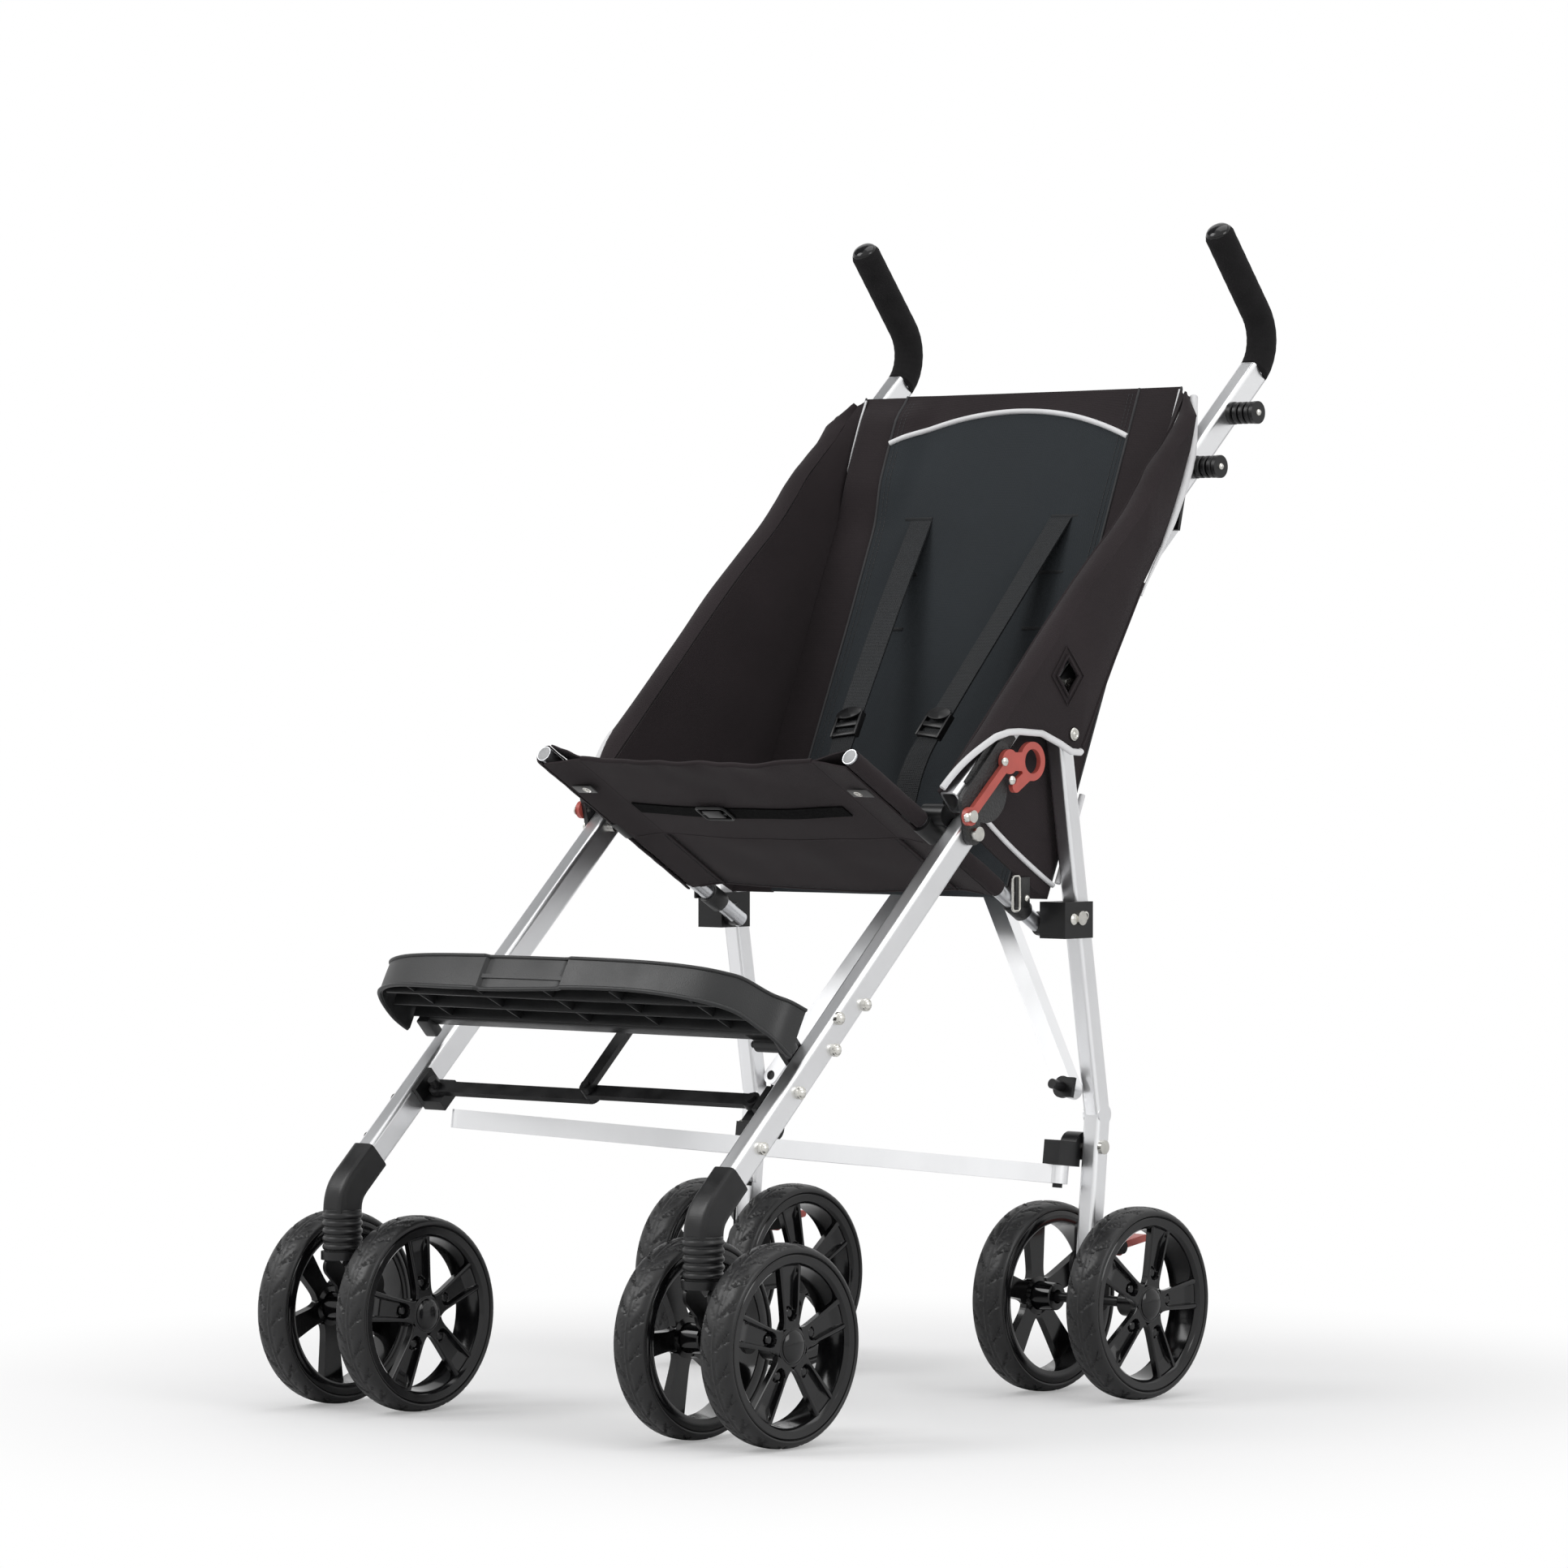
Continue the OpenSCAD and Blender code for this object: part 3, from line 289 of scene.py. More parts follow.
def finishPiece(name, shape, mat, body, sharp=35):
    placed(shape, toFrame)
    bmesh.ops.recalc_face_normals(shape, faces=shape.faces)
    mesh = bpy.data.meshes.new(name)
    shape.to_mesh(mesh)
    shape.free()
    mesh.polygons.foreach_set("use_smooth", [True] * len(mesh.polygons))
    mesh.set_sharp_from_angle(angle=math.radians(sharp))
    mesh.materials.append(mat)
    piece = bpy.data.objects.new(name, mesh)
    bpy.context.scene.collection.objects.link(piece)
    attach(piece, body)
    return piece


def joinTo(whole, part, place=Matrix()):
    placed(part, place)
    scratch = bpy.data.meshes.new("scratch")
    part.to_mesh(scratch)
    part.free()
    whole.from_mesh(scratch)
    bpy.data.meshes.remove(scratch)


# A profile of (radius, height) spun about z; the ends are closed unless the profile is a loop
def turned(profile, steps, loop=False):
    shape = bmesh.new()
    ring = [shape.verts.new((r, 0, z)) for r, z in profile]
    line = [shape.edges.new(pair) for pair in zip(ring, ring[1:])]
    if loop:
        line.append(shape.edges.new((ring[-1], ring[0])))
    bmesh.ops.spin(shape, geom=ring + line, cent=(0, 0, 0), axis=(0, 0, 1), dvec=(0, 0, 0), angle=2 * math.pi,
                   steps=steps, use_merge=True)
    bmesh.ops.remove_doubles(shape, verts=shape.verts, dist=0.002)
    if not loop:
        bmesh.ops.holes_fill(shape, edges=shape.edges, sides=0)
    bmesh.ops.recalc_face_normals(shape, faces=shape.faces)
    return shape


# A matrix whose z points along direction, with x as near to guide as it can be
def aimed(point, direction, guide=(1, 0, 0)):
    z = Vector(direction).normalized()
    x = Vector(guide) - z * Vector(guide).dot(z)
    if x.length < 1e-4:
        x = z.orthogonal()
    x.normalize()
    y = z.cross(x)
    return Matrix.Translation(Vector(point)) @ Matrix((x, y, z)).transposed().to_4x4()


# A round section, or a squarer one, carried along a line of points
def tubeAlong(path, radius, around=12, flat=1.0, square=2):
    path = [Vector(p) for p in path]
    radii = list(radius) if hasattr(radius, "__len__") else [radius] * len(path)
    guide = Vector((0, 0, 1)) if abs((path[1] - path[0]).normalized().z) < 0.9 else Vector((1, 0, 0))
    places = []
    for k, p in enumerate(path):
        along = path[min(k + 1, len(path) - 1)] - path[max(k - 1, 0)]
        place = aimed(p, along, guide)
        guide = place.to_3x3().col[0].copy()
        places.append(place @ Matrix.Diagonal((radii[k], radii[k] * flat, radii[k], 1)))
    shape = bmesh.new()
    bmesh.ops.create_circle(shape, cap_ends=True, segments=around, radius=1)
    for vert in shape.verts:
        vert.co /= (abs(vert.co.x) ** square + abs(vert.co.y) ** square) ** (1 / square)
    placed(shape, places[0])
    face = shape.faces[:][0]
    for before, after in zip(places, places[1:]):
        made = bmesh.ops.extrude_face_region(shape, geom=[face])["geom"]
        face = next(g for g in made if isinstance(g, bmesh.types.BMFace))
        bmesh.ops.transform(shape, matrix=after @ before.inverted(), verts=face.verts[:])
    return shape


# A box with rounded edges
def roundedBox(size, rounding, place=Matrix(), segments=2):
    shape = bmesh.new()
    bmesh.ops.create_cube(shape, size=1, matrix=Matrix.Diagonal((*size, 1)))
    bmesh.ops.bevel(shape, geom=shape.edges[:], offset=rounding, offset_type="OFFSET", segments=segments,
                    profile=0.5, affect="EDGES", material=-1)
    return placed(shape, place)


# A smooth line through points
def curveThrough(points, count):
    p = [Vector(q) for q in points]
    p = [2 * p[0] - p[1]] + p + [2 * p[-1] - p[-2]]
    spans = len(p) - 3
    out = []
    for k in range(count):
        t = k / (count - 1) * spans
        i = min(int(t), spans - 1)
        f = t - i
        a, b, c, d = p[i:i + 4]
        bend = 2 * a - 5 * b + 4 * c - d
        swing = 3 * b - a - 3 * c + d
        out.append(0.5 * (2 * b + (c - a) * f + bend * f ** 2 + swing * f ** 3))
    return out


# The point at a share of a line of evenly numbered points
def pointAt(line, t):
    spans = len(line) - 1
    k = min(spans - 1, int(t * spans))
    return line[k].lerp(line[k + 1], t * spans - k)


# Points of a form from start to end, all moved by the same shift
def sampled(form, start, end, count, shift=(0, 0, 0)):
    return [form(t) + Vector(shift) for t in np.linspace(start, end, count)]


# Short stitches along a line of points
def stitchesAlong(shape, path, pitch, length, radius):
    path = [Vector(p) for p in path]
    run = [0.0]
    for a, b in zip(path, path[1:]):
        run.append(run[-1] + (b - a).length)
    for start in np.arange(pitch * 0.5, run[-1] - length, pitch):
        ends = [Vector([np.interp(s, run, [p[k] for p in path]) for k in range(3)])
                for s in (start, start + length)]
        bmesh.ops.create_cone(shape, cap_ends=True, segments=5, radius1=radius, radius2=radius, depth=length,
                              matrix=aimed((ends[0] + ends[1]) / 2, ends[1] - ends[0]))


# A closed line round a rectangle with rounded corners, in the xy plane
def roundedLoop(width, height, corner):
    line = []
    for k, (sx, sy) in enumerate(((1, 1), (-1, 1), (-1, -1), (1, -1))):
        for step in range(7):
            angle = math.pi / 2 * (k + step / 6)
            line.append(Vector((sx * (width / 2 - corner) + corner * math.cos(angle),
                                sy * (height / 2 - corner) + corner * math.sin(angle), 0)))
    return line + line[:1]


# Cut a closed shape out of a finished piece
def cutAway(piece, shape):
    placed(shape, toFrame)
    bmesh.ops.recalc_face_normals(shape, faces=shape.faces)
    toolMesh = bpy.data.meshes.new("tool")
    shape.to_mesh(toolMesh)
    shape.free()
    tool = bpy.data.objects.new("tool", toolMesh)
    bpy.context.scene.collection.objects.link(tool)
    cutter = piece.modifiers.new("cut", "BOOLEAN")
    cutter.operation = "DIFFERENCE"
    cutter.object = tool
    whole = bpy.data.meshes.new_from_object(piece.evaluated_get(bpy.context.evaluated_depsgraph_get()))
    piece.modifiers.clear()
    old = piece.data
    piece.data = whole
    bpy.data.meshes.remove(old)
    bpy.data.objects.remove(tool)
    bpy.data.meshes.remove(toolMesh)


# A domed rivet head, its flat side down
def dome(radius, height):
    return turned([(0, height), (0.45 * radius, 0.9 * height), (0.8 * radius, 0.6 * height),
                   (radius, 0.15 * height), (radius, -0.8)], 24)


# A grid bent to a form and given a thickness
def bentGrid(form, across, along, thick):
    shape = bmesh.new()
    bmesh.ops.create_grid(shape, x_segments=across, y_segments=along, size=0.5)
    for vert in shape.verts:
        vert.co = form(vert.co.x + 0.5, vert.co.y + 0.5)
    bmesh.ops.recalc_face_normals(shape, faces=shape.faces)
    bmesh.ops.solidify(shape, geom=shape.faces[:], thickness=thick)
    return shape


# A sheet of cloth: a grid bent to a form, its flat size kept as UVs, then given its thickness
def clothSheet(name, form, across, along, thick, mat, body, fold=None, hides=()):
    shape = bmesh.new()
    flat = shape.loops.layers.uv.new("flat")
    bmesh.ops.create_grid(shape, x_segments=across, y_segments=along, size=0.5)
    bmesh.ops.translate(shape, vec=(0.5, 0.5, 0), verts=shape.verts)
    middle = [Vector(form(u, 0.5)) for u in np.linspace(0, 1, 40)]
    wide = sum((b - a).length for a, b in zip(middle, middle[1:])) / 1000
    middle = [Vector(form(0.5, v)) for v in np.linspace(0, 1, 40)]
    long = sum((b - a).length for a, b in zip(middle, middle[1:])) / 1000
    for face in shape.faces:
        for corner in face.loops:
            corner[flat].uv = (corner.vert.co.x * wide, corner.vert.co.y * long)
    for vert in shape.verts:
        vert.co = form(vert.co.x, vert.co.y)
    area = sum(face.calc_area() for face in shape.faces) / 1e6
    bmesh.ops.recalc_face_normals(shape, faces=shape.faces)
    bmesh.ops.solidify(shape, geom=shape.faces[:], thickness=thick)
    piece = finishPiece(name, shape, mat, body, 60)
    if hides:
        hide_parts(*hides)
    if fold:
        squashTo(piece)
    return piece


def squashTo(piece):
    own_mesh(piece)


# Wheels: a treaded tyre and a five-spoke rim for each
wheelSpec = {
    "tyre": [(79, -16), (85.6, -16.2), (86.4, -18.1), (88.2, -19), (91.2, -17.4), (93.4, -13.2),
             (94.6, -7), (95, 0)],
    "rows": (("front", frameHalf, 107, -270), ("rear", 225, 118, 270)), "axleZ": 95,
    "around": 400, "motifs": 20, "grooveDeep": 1.6,
    "spokes": 5, "hubApothem": 17, "spokeEnd": 75.5, "face": 15.6, "backFace": 7.5, "channel": 4.8,
    "spokeHalf": 9.0, "spokeFlare": 0.105, "rootFillet": (3.35, 4.5),
    "channelShare": 0.68, "channelFlare": 0.118, "pocketAt": 31.0, "lug": 4.3,
    "barrel": [(74, -17), (74, 12.5), (75.4, 15.6), (77.6, 17.7), (84.4, 18.4), (85.4, 17.6), (85.4, 16.5),
               (79.3, 16.3), (79.3, -16.3), (85.4, -16.5), (85.4, -17.6), (84.4, -18.2), (76, -17.9)],
    "cap": [(0, 20.6), (6, 20.4), (11, 19.5), (14.3, 18.1), (15.3, 17.2), (15.4, 16.4), (16.6, 16.2),
            (17.0, 15.6), (17.0, 14)],
    "hub": [(15.5, 16.0), (18.6, 15.4), (19.2, 14.4), (19.2, 7.4), (14.5, 6.0), (13.6, -15.6),
            (12.6, -16.8), (7, -17), (7, 12)],
}
# Tread grooves: turn, lean per mm, half width, from, to, share of the depth
grooves = ((0.0, 0.052, 0.06, 3.0, 15.5, 1.0), (0.2, 0.02, 0.05, 8.0, 17.0, 0.8),
           (0.1, -0.04, 0.05, 11.5, 15.5, 0.8), (0.55, 0.052, 0.035, 0.5, 9.0, 0.6))


def tyreShape():
    half = [(p.x, p.y) for p in curveThrough([(r, z, 0) for r, z in wheelSpec["tyre"]], 24)]
    shape = turned(half + [(r, -z) for r, z in half[-2::-1]], wheelSpec["around"], loop=True)
    for vert in shape.verts:
        r = math.hypot(vert.co.x, vert.co.y)
        out = abs(vert.co.z)
        stagger = 0 if vert.co.z > 0 else 0.5
        turn = math.atan2(vert.co.y, vert.co.x) * wheelSpec["motifs"] / (2 * math.pi) + stagger
        deep = 0.4 * (1 - ease(0.6, 1.3, abs(out - 2.0)))
        for shift, lean, wide, low, high, share in grooves:
            along = turn + shift + lean * out
            band = 1 - ease(wide * 0.5, wide, abs(along - round(along)))
            ends = ease(low - 1, low + 0.6, out) * (1 - ease(high - 0.6, high + 1, out))
            deep = max(deep, band * share * ends)
        cut = 1 - wheelSpec["grooveDeep"] * deep * ease(86.8, 89, r) / r
        vert.co.x *= cut
        vert.co.y *= cut
    return shape


def spokeShape():
    spec = wheelSpec
    root = spec["hubApothem"]
    start = spec["pocketAt"]
    filletWide, filletLong = spec["rootFillet"]

    def channelHalf(a):
        return spec["channelShare"] * (spec["spokeHalf"] + (a - root) * spec["channelFlare"])

    mouth = channelHalf(start)
    shape = bmesh.new()
    bmesh.ops.create_grid(shape, x_segments=60, y_segments=34, size=0.5)
    for vert in shape.verts:
        a = mix(root, spec["spokeEnd"], vert.co.x + 0.5)
        u = 2 * vert.co.y
        fillet = filletWide * math.exp(-(a - root) / filletLong)
        b = u * (spec["spokeHalf"] + (a - root) * spec["spokeFlare"] + fillet)
        reach = math.hypot(a - start, b)
        inside = mouth - reach if a < start else channelHalf(a) - abs(b)
        top = spec["face"] - spec["channel"] * ease(0, 1.3, inside) * (1 - 0.55 * ease(60, 75, a))
        top -= 2.2 * ease(0, 1.0, mouth - 1.0 - reach) + 0.9 * ease(0.9, 1.0, abs(u))
        vert.co = (a, b, top)
    made = bmesh.ops.extrude_face_region(shape, geom=shape.faces[:])["geom"]
    for vert in made:
        if isinstance(vert, bmesh.types.BMVert):
            vert.co.y *= 0.9
            vert.co.z = spec["backFace"]
    return shape


def rimShape():
    spec = wheelSpec
    whole = bmesh.new()
    joinTo(whole, turned(spec["barrel"], 144, loop=True))
    joinTo(whole, turned(spec["hub"], 72, loop=True))
    joinTo(whole, turned(spec["cap"], 72))
    spoke = spokeShape()
    lug = spec["lug"]
    for k in range(spec["spokes"]):
        spot = Matrix.Rotation(2 * math.pi * k / spec["spokes"], 4, "Z")
        joinTo(whole, spoke.copy(), spot)
        joinTo(whole, turned([(0, 12.6), (lug - 1, 12.4), (lug, 11.6), (lug, 7.6)], 24),
               spot @ Matrix.Translation((spec["pocketAt"], 0, 0)))
    spoke.free()
    return whole


# Local z to the axle, outer face first
def onAxle(centre, face, spin):
    c, s = math.cos(spin), math.sin(spin)
    return Matrix(((0, 0, face, centre[0]), (c, -s, 0, centre[1]), (s, c, 0, centre[2]), (0, 0, 0, 1)))


tyreBase = tyreShape()
rimBase = rimShape()
spins = {("front", "outer", 1): 92, ("front", "inner", 1): 40, ("rear", "outer", 1): 76,
         ("rear", "inner", 1): 20, ("front", "outer", -1): 56, ("front", "inner", -1): 98,
         ("rear", "outer", -1): 66, ("rear", "inner", -1): 33}
for tag, side in sides:
    for row, halfGap, twin, axleY in wheelSpec["rows"]:
        for where, out in (("outer", 1), ("inner", -1)):
            place = onAxle((side * (halfGap + out * twin / 2), axleY, wheelSpec["axleZ"]), side * out,
                           math.radians(spins[(row, where, side)]))
            body = f"{row}_wheel_{where}_{tag}"
            for part, base, mat, slotName in (("tyre", tyreBase, tyreRubber, "tyre"),
                                              ("rim", rimBase, rimGloss, "gloss_black")):
                shape = placed(base.copy(), place)
                piece = finishPiece(f"{part}_{row}_{where}_{tag}", shape, mat, body, 34)
                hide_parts(f"{row}_{part}_{where}_{tag}")
print("wheels", len(tyreBase.faces), len(rimBase.faces))


# Foam grips with end plugs
gripSpec = {"bend": 45, "turn": 87, "straight": 100, "radius": 15.2, "slope": 42, "start": (522.84, 1020.25),
            "ripple": 0.1, "tuck": (1.8, 1.4),
            "plug": [(0, 6.4), (6, 6.0), (10, 4.6), (12.4, 2.4), (13.2, 0.6), (13.2, -3)]}


def gripLine():
    spec = gripSpec
    heading = math.radians(spec["slope"])
    base = Vector((*spec["start"], 0))
    centre = base + spec["bend"] * Vector((-math.sin(heading), math.cos(heading), 0))
    line = []
    for k in range(30):
        angle = heading - math.pi / 2 + math.radians(spec["turn"]) * k / 29
        line.append(centre + spec["bend"] * Vector((math.cos(angle), math.sin(angle), 0)))
    ahead = heading + math.radians(spec["turn"])
    corner = line[-1]
    for k in range(1, 26):
        line.append(corner + spec["straight"] * k / 25 * Vector((math.cos(ahead), math.sin(ahead), 0)))
    return line, ahead


for tag, side in sides:
    line, ahead = gripLine()
    path = [(side * frameHalf, p.x, p.y) for p in line]
    radii = [gripSpec["radius"] + gripSpec["ripple"] * math.sin(k * 1.7) for k in range(len(path))]
    radii[0] -= gripSpec["tuck"][0]
    radii[-1] -= gripSpec["tuck"][1]
    foam = finishPiece(f"foamGrip_{tag}", tubeAlong(path, radii, 40), gripFoam, f"{tag}_frame", 50)
    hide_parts(f"grip_{tag}")
    plug = placed(turned(gripSpec["plug"], 40), aimed(path[-1], (0, math.cos(ahead), math.sin(ahead))))
    finishPiece(f"gripPlug_{tag}", plug, rimGloss, f"{tag}_frame", 40)
print("grips")


# Back cover: a centre panel and yoke, a strip each side, a side panel out to each tube, and a wing round it
backSpec = {"low": (222, 492), "top": (440, 1003), "half": 153, "corner": 208, "arcSide": 954, "arcPeak": 984,
            "thick": 2.4, "braceRoom": 10, "wrapBulge": {1: 6.5, -1: 4.5}, "farTuck": 4,
            "outer": ((0, 0.55, 0.9, 1.0), (252, 251, 245, 220)),
            "window": (196, 712), "windowHalf": (17, 20), "screw": (206, 655)}
stitch = {"pitch": 4.2, "length": 2.8}
backFold = {"anchor": 224, "keep": (448 - 205) / 448}
foldLine = curveThrough([(224, 36, 601), (224, 134, 698), (224, 238, 800), (224, 319, 872), (223, 361, 920),
                         (222, 402, 958), (217, 434, 994)], 101)
# The wing's rim: share of the fold line's length, then x, y, z
rimPoints = [(0.09, 252, 91, 655), (0.13, 252.3, 106, 658.5), (0.17, 252.5, 123, 659),
             (0.22, 252.5, 157, 657), (0.27, 252.5, 185, 647), (0.31, 252.5, 203, 639),
             (0.345, 252.5, 217, 638), (0.38, 252, 226, 650), (0.5, 252, 273, 730), (0.62, 250, 322, 804),
             (0.72, 248, 350, 838), (0.8, 247, 370, 868), (0.86, 246, 389, 902), (0.91, 246, 401, 929),
             (0.95, 238, 414, 951), (1.0, 221, 437, 993)]
wingStart = rimPoints[0][0]


def backPoint(x, v):
    y, z = mix(backSpec["low"][0], backSpec["top"][0], v), mix(backSpec["low"][1], backSpec["top"][1], v)
    dish = 6 * (1 - (x / backSpec["corner"]) ** 2) + 4 * math.sin(math.pi * v)
    # Room for the left brace's top when the buggy is folded
    room = ease(-110, -140, x) * ease(-209, -200, x) * ease(0.72, 0.84, v) * ease(1, 0.95, v)
    dish -= backSpec["braceRoom"] * room
    ripple = 0.8 * math.sin(x / 17 + v * 4) * (1 - v) ** 2 + 1.2 * noise.noise(Vector((x / 50, v * 5, 1.5)))
    return Vector((x, y + dish + ripple, z))


def backShare(z):
    return (z - backSpec["low"][1]) / (backSpec["top"][1] - backSpec["low"][1])


def arcShare(x):
    return backShare(mix(backSpec["arcPeak"], backSpec["arcSide"], (x / backSpec["half"]) ** 2))


def rimAt(t):
    return Vector([np.interp(t, [p[0] for p in rimPoints], [p[k] for p in rimPoints]) for k in (1, 2, 3)])


def sidePoint(side, a, t):
    corner = backPoint(backSpec["corner"], t)
    edge = pointAt(foldLine, t)
    p = corner.lerp(edge, a)
    p.x = mix(corner.x, edge.x, a * a)
    crease = 1.8 * noise.noise(Vector((a * 2.4, t * 6, 7.3 + side))) * math.sin(math.pi * a)
    return Vector((side * (p.x - crease), p.y, p.z - 5 * math.sin(math.pi * a) * (1 - t) ** 2))


def wrapEnd(t):
    return min(1.0, 0.25 + 0.75 * t / wingStart)


def wrapPoint(side, a, t):
    p = pointAt(foldLine, t)
    crease = 0.9 * noise.noise(Vector((t * 14, a * 2, 9 + side)))
    bulge = backSpec["wrapBulge"][side] * math.sin(math.pi * a) + crease
    outer = np.interp(t, *backSpec["outer"])
    if side < 0:
        outer -= backSpec["farTuck"] * ease(0.02, 0.2, t) * ease(1, 0.8, t)
    return Vector((side * mix(p.x, outer, a), p.y - 0.66 * bulge, p.z + 0.75 * bulge))


def wingPoint(side, k, t):
    front = wrapPoint(side, 1, t)
    rear = rimAt(t)
    rear.x *= side
    p = front.lerp(rear, k)
    puff = 2.6 * math.sin(math.pi * k) * math.sin(math.pi * min(1, t * 1.05))
    crease = 1.6 * noise.noise(Vector((p.y / 46, p.z / 70, 3.1 + side))) * math.sin(math.pi * min(1, k * 1.1))
    p.x += side * (puff + crease)
    return p


half = backSpec["half"]


def panelPoint(u, v):
    x = mix(-half, half, u)
    return backPoint(x, v * arcShare(x))


def yokePoint(u, v):
    x = mix(-half, half, u)
    return backPoint(x, mix(arcShare(x), 1, v))


clothSheet("backPanel", panelPoint, 60, 72, backSpec["thick"], backCloth, "left_frame",
           backFold, ["back_cover"])
clothSheet("backYoke", yokePoint, 60, 12, backSpec["thick"], sideCloth, "left_frame",
           backFold)
for tag, side in sides:
    clothSheet(f"backStrip_{tag}", lambda u, v: backPoint(side * mix(half, backSpec["corner"], u), v), 12, 72,
               backSpec["thick"], sideCloth, "left_frame", backFold)
    clothSheet(f"sidePanel_{tag}", lambda u, v: sidePoint(side, u, v), 26, 80, backSpec["thick"], sideCloth,
               "left_frame", backFold)
    clothSheet(f"tubeWrap_{tag}", lambda u, v: wrapPoint(side, u * wrapEnd(v), v), 14, 100, 2.2, sideCloth,
               f"{tag}_frame")
    wing = clothSheet(f"wing_{tag}", lambda u, v: wingPoint(side, u, mix(wingStart, 1, v)), 26, 96, 2.2,
                      sideCloth, f"{tag}_frame")
    spot = backSpec["window"]
    wide, high = backSpec["windowHalf"]
    through = aimed((side * 252, *spot), (side, 0, 0), (0, 1, 0)) @ Matrix.Diagonal((wide, high, 10, 1))
    window = bmesh.new()
    bmesh.ops.create_cone(window, cap_ends=True, segments=4, radius1=1, radius2=1, depth=2, matrix=through)
    cutAway(wing, window)
    surface = [wingPoint(side, k, t) for k in np.linspace(0, 1, 40) for t in np.linspace(0.2, 0.5, 60)]

    def onWing(y, z):
        near = min(surface, key=lambda q: (q.y - y) ** 2 + (q.z - z) ** 2)
        return (near.x + side * 1.0, y, z)

    def rimLine(t):
        return wingPoint(side, 1, t)

    frames = bmesh.new()
    for scale, thin in ((1.0, 1.5), (1.45, 0.7)):
        ring = []
        for angle in np.linspace(0, 2 * math.pi, 49):
            reach = scale / (abs(math.cos(angle)) + abs(math.sin(angle)))
            ring.append(onWing(spot[0] + wide * reach * math.cos(angle),
                               spot[1] + high * reach * math.sin(angle)))
        joinTo(frames, tubeAlong(ring, thin, 8))
    finishPiece(f"windowTrim_{tag}", frames, sideCloth, f"{tag}_frame", 50)
    screw = turned([(2.6, 0), (6.4, 0), (6.4, 1.0), (5.6, 1.8), (4.4, 1.9), (3.6, 1.2), (2.6, 1.2)], 32,
                   loop=True)
    joinTo(screw, dome(3.2, 2.4))
    placed(screw, aimed(onWing(*backSpec["screw"]), (side, 0, 0)))
    finishPiece(f"wingScrew_{tag}", screw, zincBolt, f"{tag}_frame", 40)
    pipe = sampled(lambda t: wrapPoint(side, wrapEnd(t), t), 0, wingStart, 16, (0, -1, 0))
    pipe += sampled(rimLine, wingStart + 0.005, 0.35, 40, (side * 0.8, 0, -1))
    trim = tubeAlong(pipe, 3.4, 12)
    joinTo(trim, tubeAlong(sampled(rimLine, 0.6, 1, 40, (side * 1.6, 2.2, 0)),
                           [1.2 + 3.2 * ease(0.6, 0.9, t) for t in np.linspace(0.6, 1, 40)], 10))
    finishPiece(f"wingPiping_{tag}", trim, whitePiping, f"{tag}_frame", 50)
    hem = tubeAlong(sampled(rimLine, 0.36, 0.62, 30), 1.7, 10)
    finishPiece(f"wingHem_{tag}", hem, sideCloth, f"{tag}_frame", 50)
    low = tubeAlong(sampled(lambda a: sidePoint(side, a, 0.03), 0, 0.95, 30, (side * 1.5, 0, -2)), 2.6, 10)
    line = sampled(lambda v: backPoint(side * 210, v), 0.03, 0.2, 30, (side * 2, 4, 0))
    joinTo(low, tubeAlong(line, 3.2, 10))
    squashTo(finishPiece(f"sidePiping_{tag}", low, whitePiping, "left_frame", 50))

arcLine = sampled(lambda x: backPoint(x, arcShare(x)), -half, half, 61, (0, -2.6, 0.6))
arcTrim = tubeAlong(arcLine, 2.8, 10)
for side in (-1, 1):
    line = sampled(lambda v: backPoint(side * 207, v), 0.45, 0.995, 40, (0, -2.6, 0.6))
    joinTo(arcTrim, tubeAlong(line, [0.3 + 0.9 * k / 39 for k in range(40)], 8))
squashTo(finishPiece("backPiping", arcTrim, whitePiping, "left_frame", 50))

seams = bmesh.new()
for side in (-1, 1):
    line = sampled(lambda v: backPoint(side * half, v), 0.02, 1, 60, (0, -2.4, 0.8))
    joinTo(seams, tubeAlong(line, 1.5, 8))
    for inset in (7, 12):
        line = sampled(lambda v: backPoint(side * (half - inset), v), 0.02, 0.99, 100, (0, -2.5, 0.8))
        stitchesAlong(seams, line, radius=0.42, **stitch)
    line = sampled(lambda v: backPoint(side * backSpec["corner"], v), 0.02, 1, 60, (0, -2, 0.8))
    joinTo(seams, tubeAlong(line, 1.1, 8))
squashTo(finishPiece("backSeams", seams, seamThread, "left_frame", 50))
print("back cover")


# Seat sling: two panels between the rails, pockets round the rails, a rolled front edge, small fittings
seatSpec = {"railX": 199, "rail": (-68, 635), "tilt": 30.4, "from": 3, "seam": 150, "to": 258, "sag": 8,
            "sleeve": 9.2, "sleeveGap": (121, 153), "edge": 197, "pocket": 152, "collar": 295}
seatFold = {"anchor": 199, "keep": (398 - 203) / 398}
tilt = math.radians(seatSpec["tilt"])
underside = Vector((0, -math.sin(tilt), -math.cos(tilt)))
downRail = Vector((0, math.cos(tilt), -math.sin(tilt)))


def seatPoint(x, s, lift=0.0):
    k = max(0, 1 - (x / 190) ** 2)
    crease = 1.8 * noise.noise(Vector((x / 60, s / 50, 4.4))) * k
    lip = 6 * math.exp(-(s - 3) / 14) * noise.noise(Vector((x / 42, 0.3, 2.2))) * k
    tuck = 9.4 * ease(seatSpec["pocket"] - 4, seatSpec["edge"] + 6, abs(x))
    p = Vector((x, *seatSpec["rail"])) + downRail * s
    return p + underside * (seatSpec["sag"] * k + crease + lip + tuck + lift)


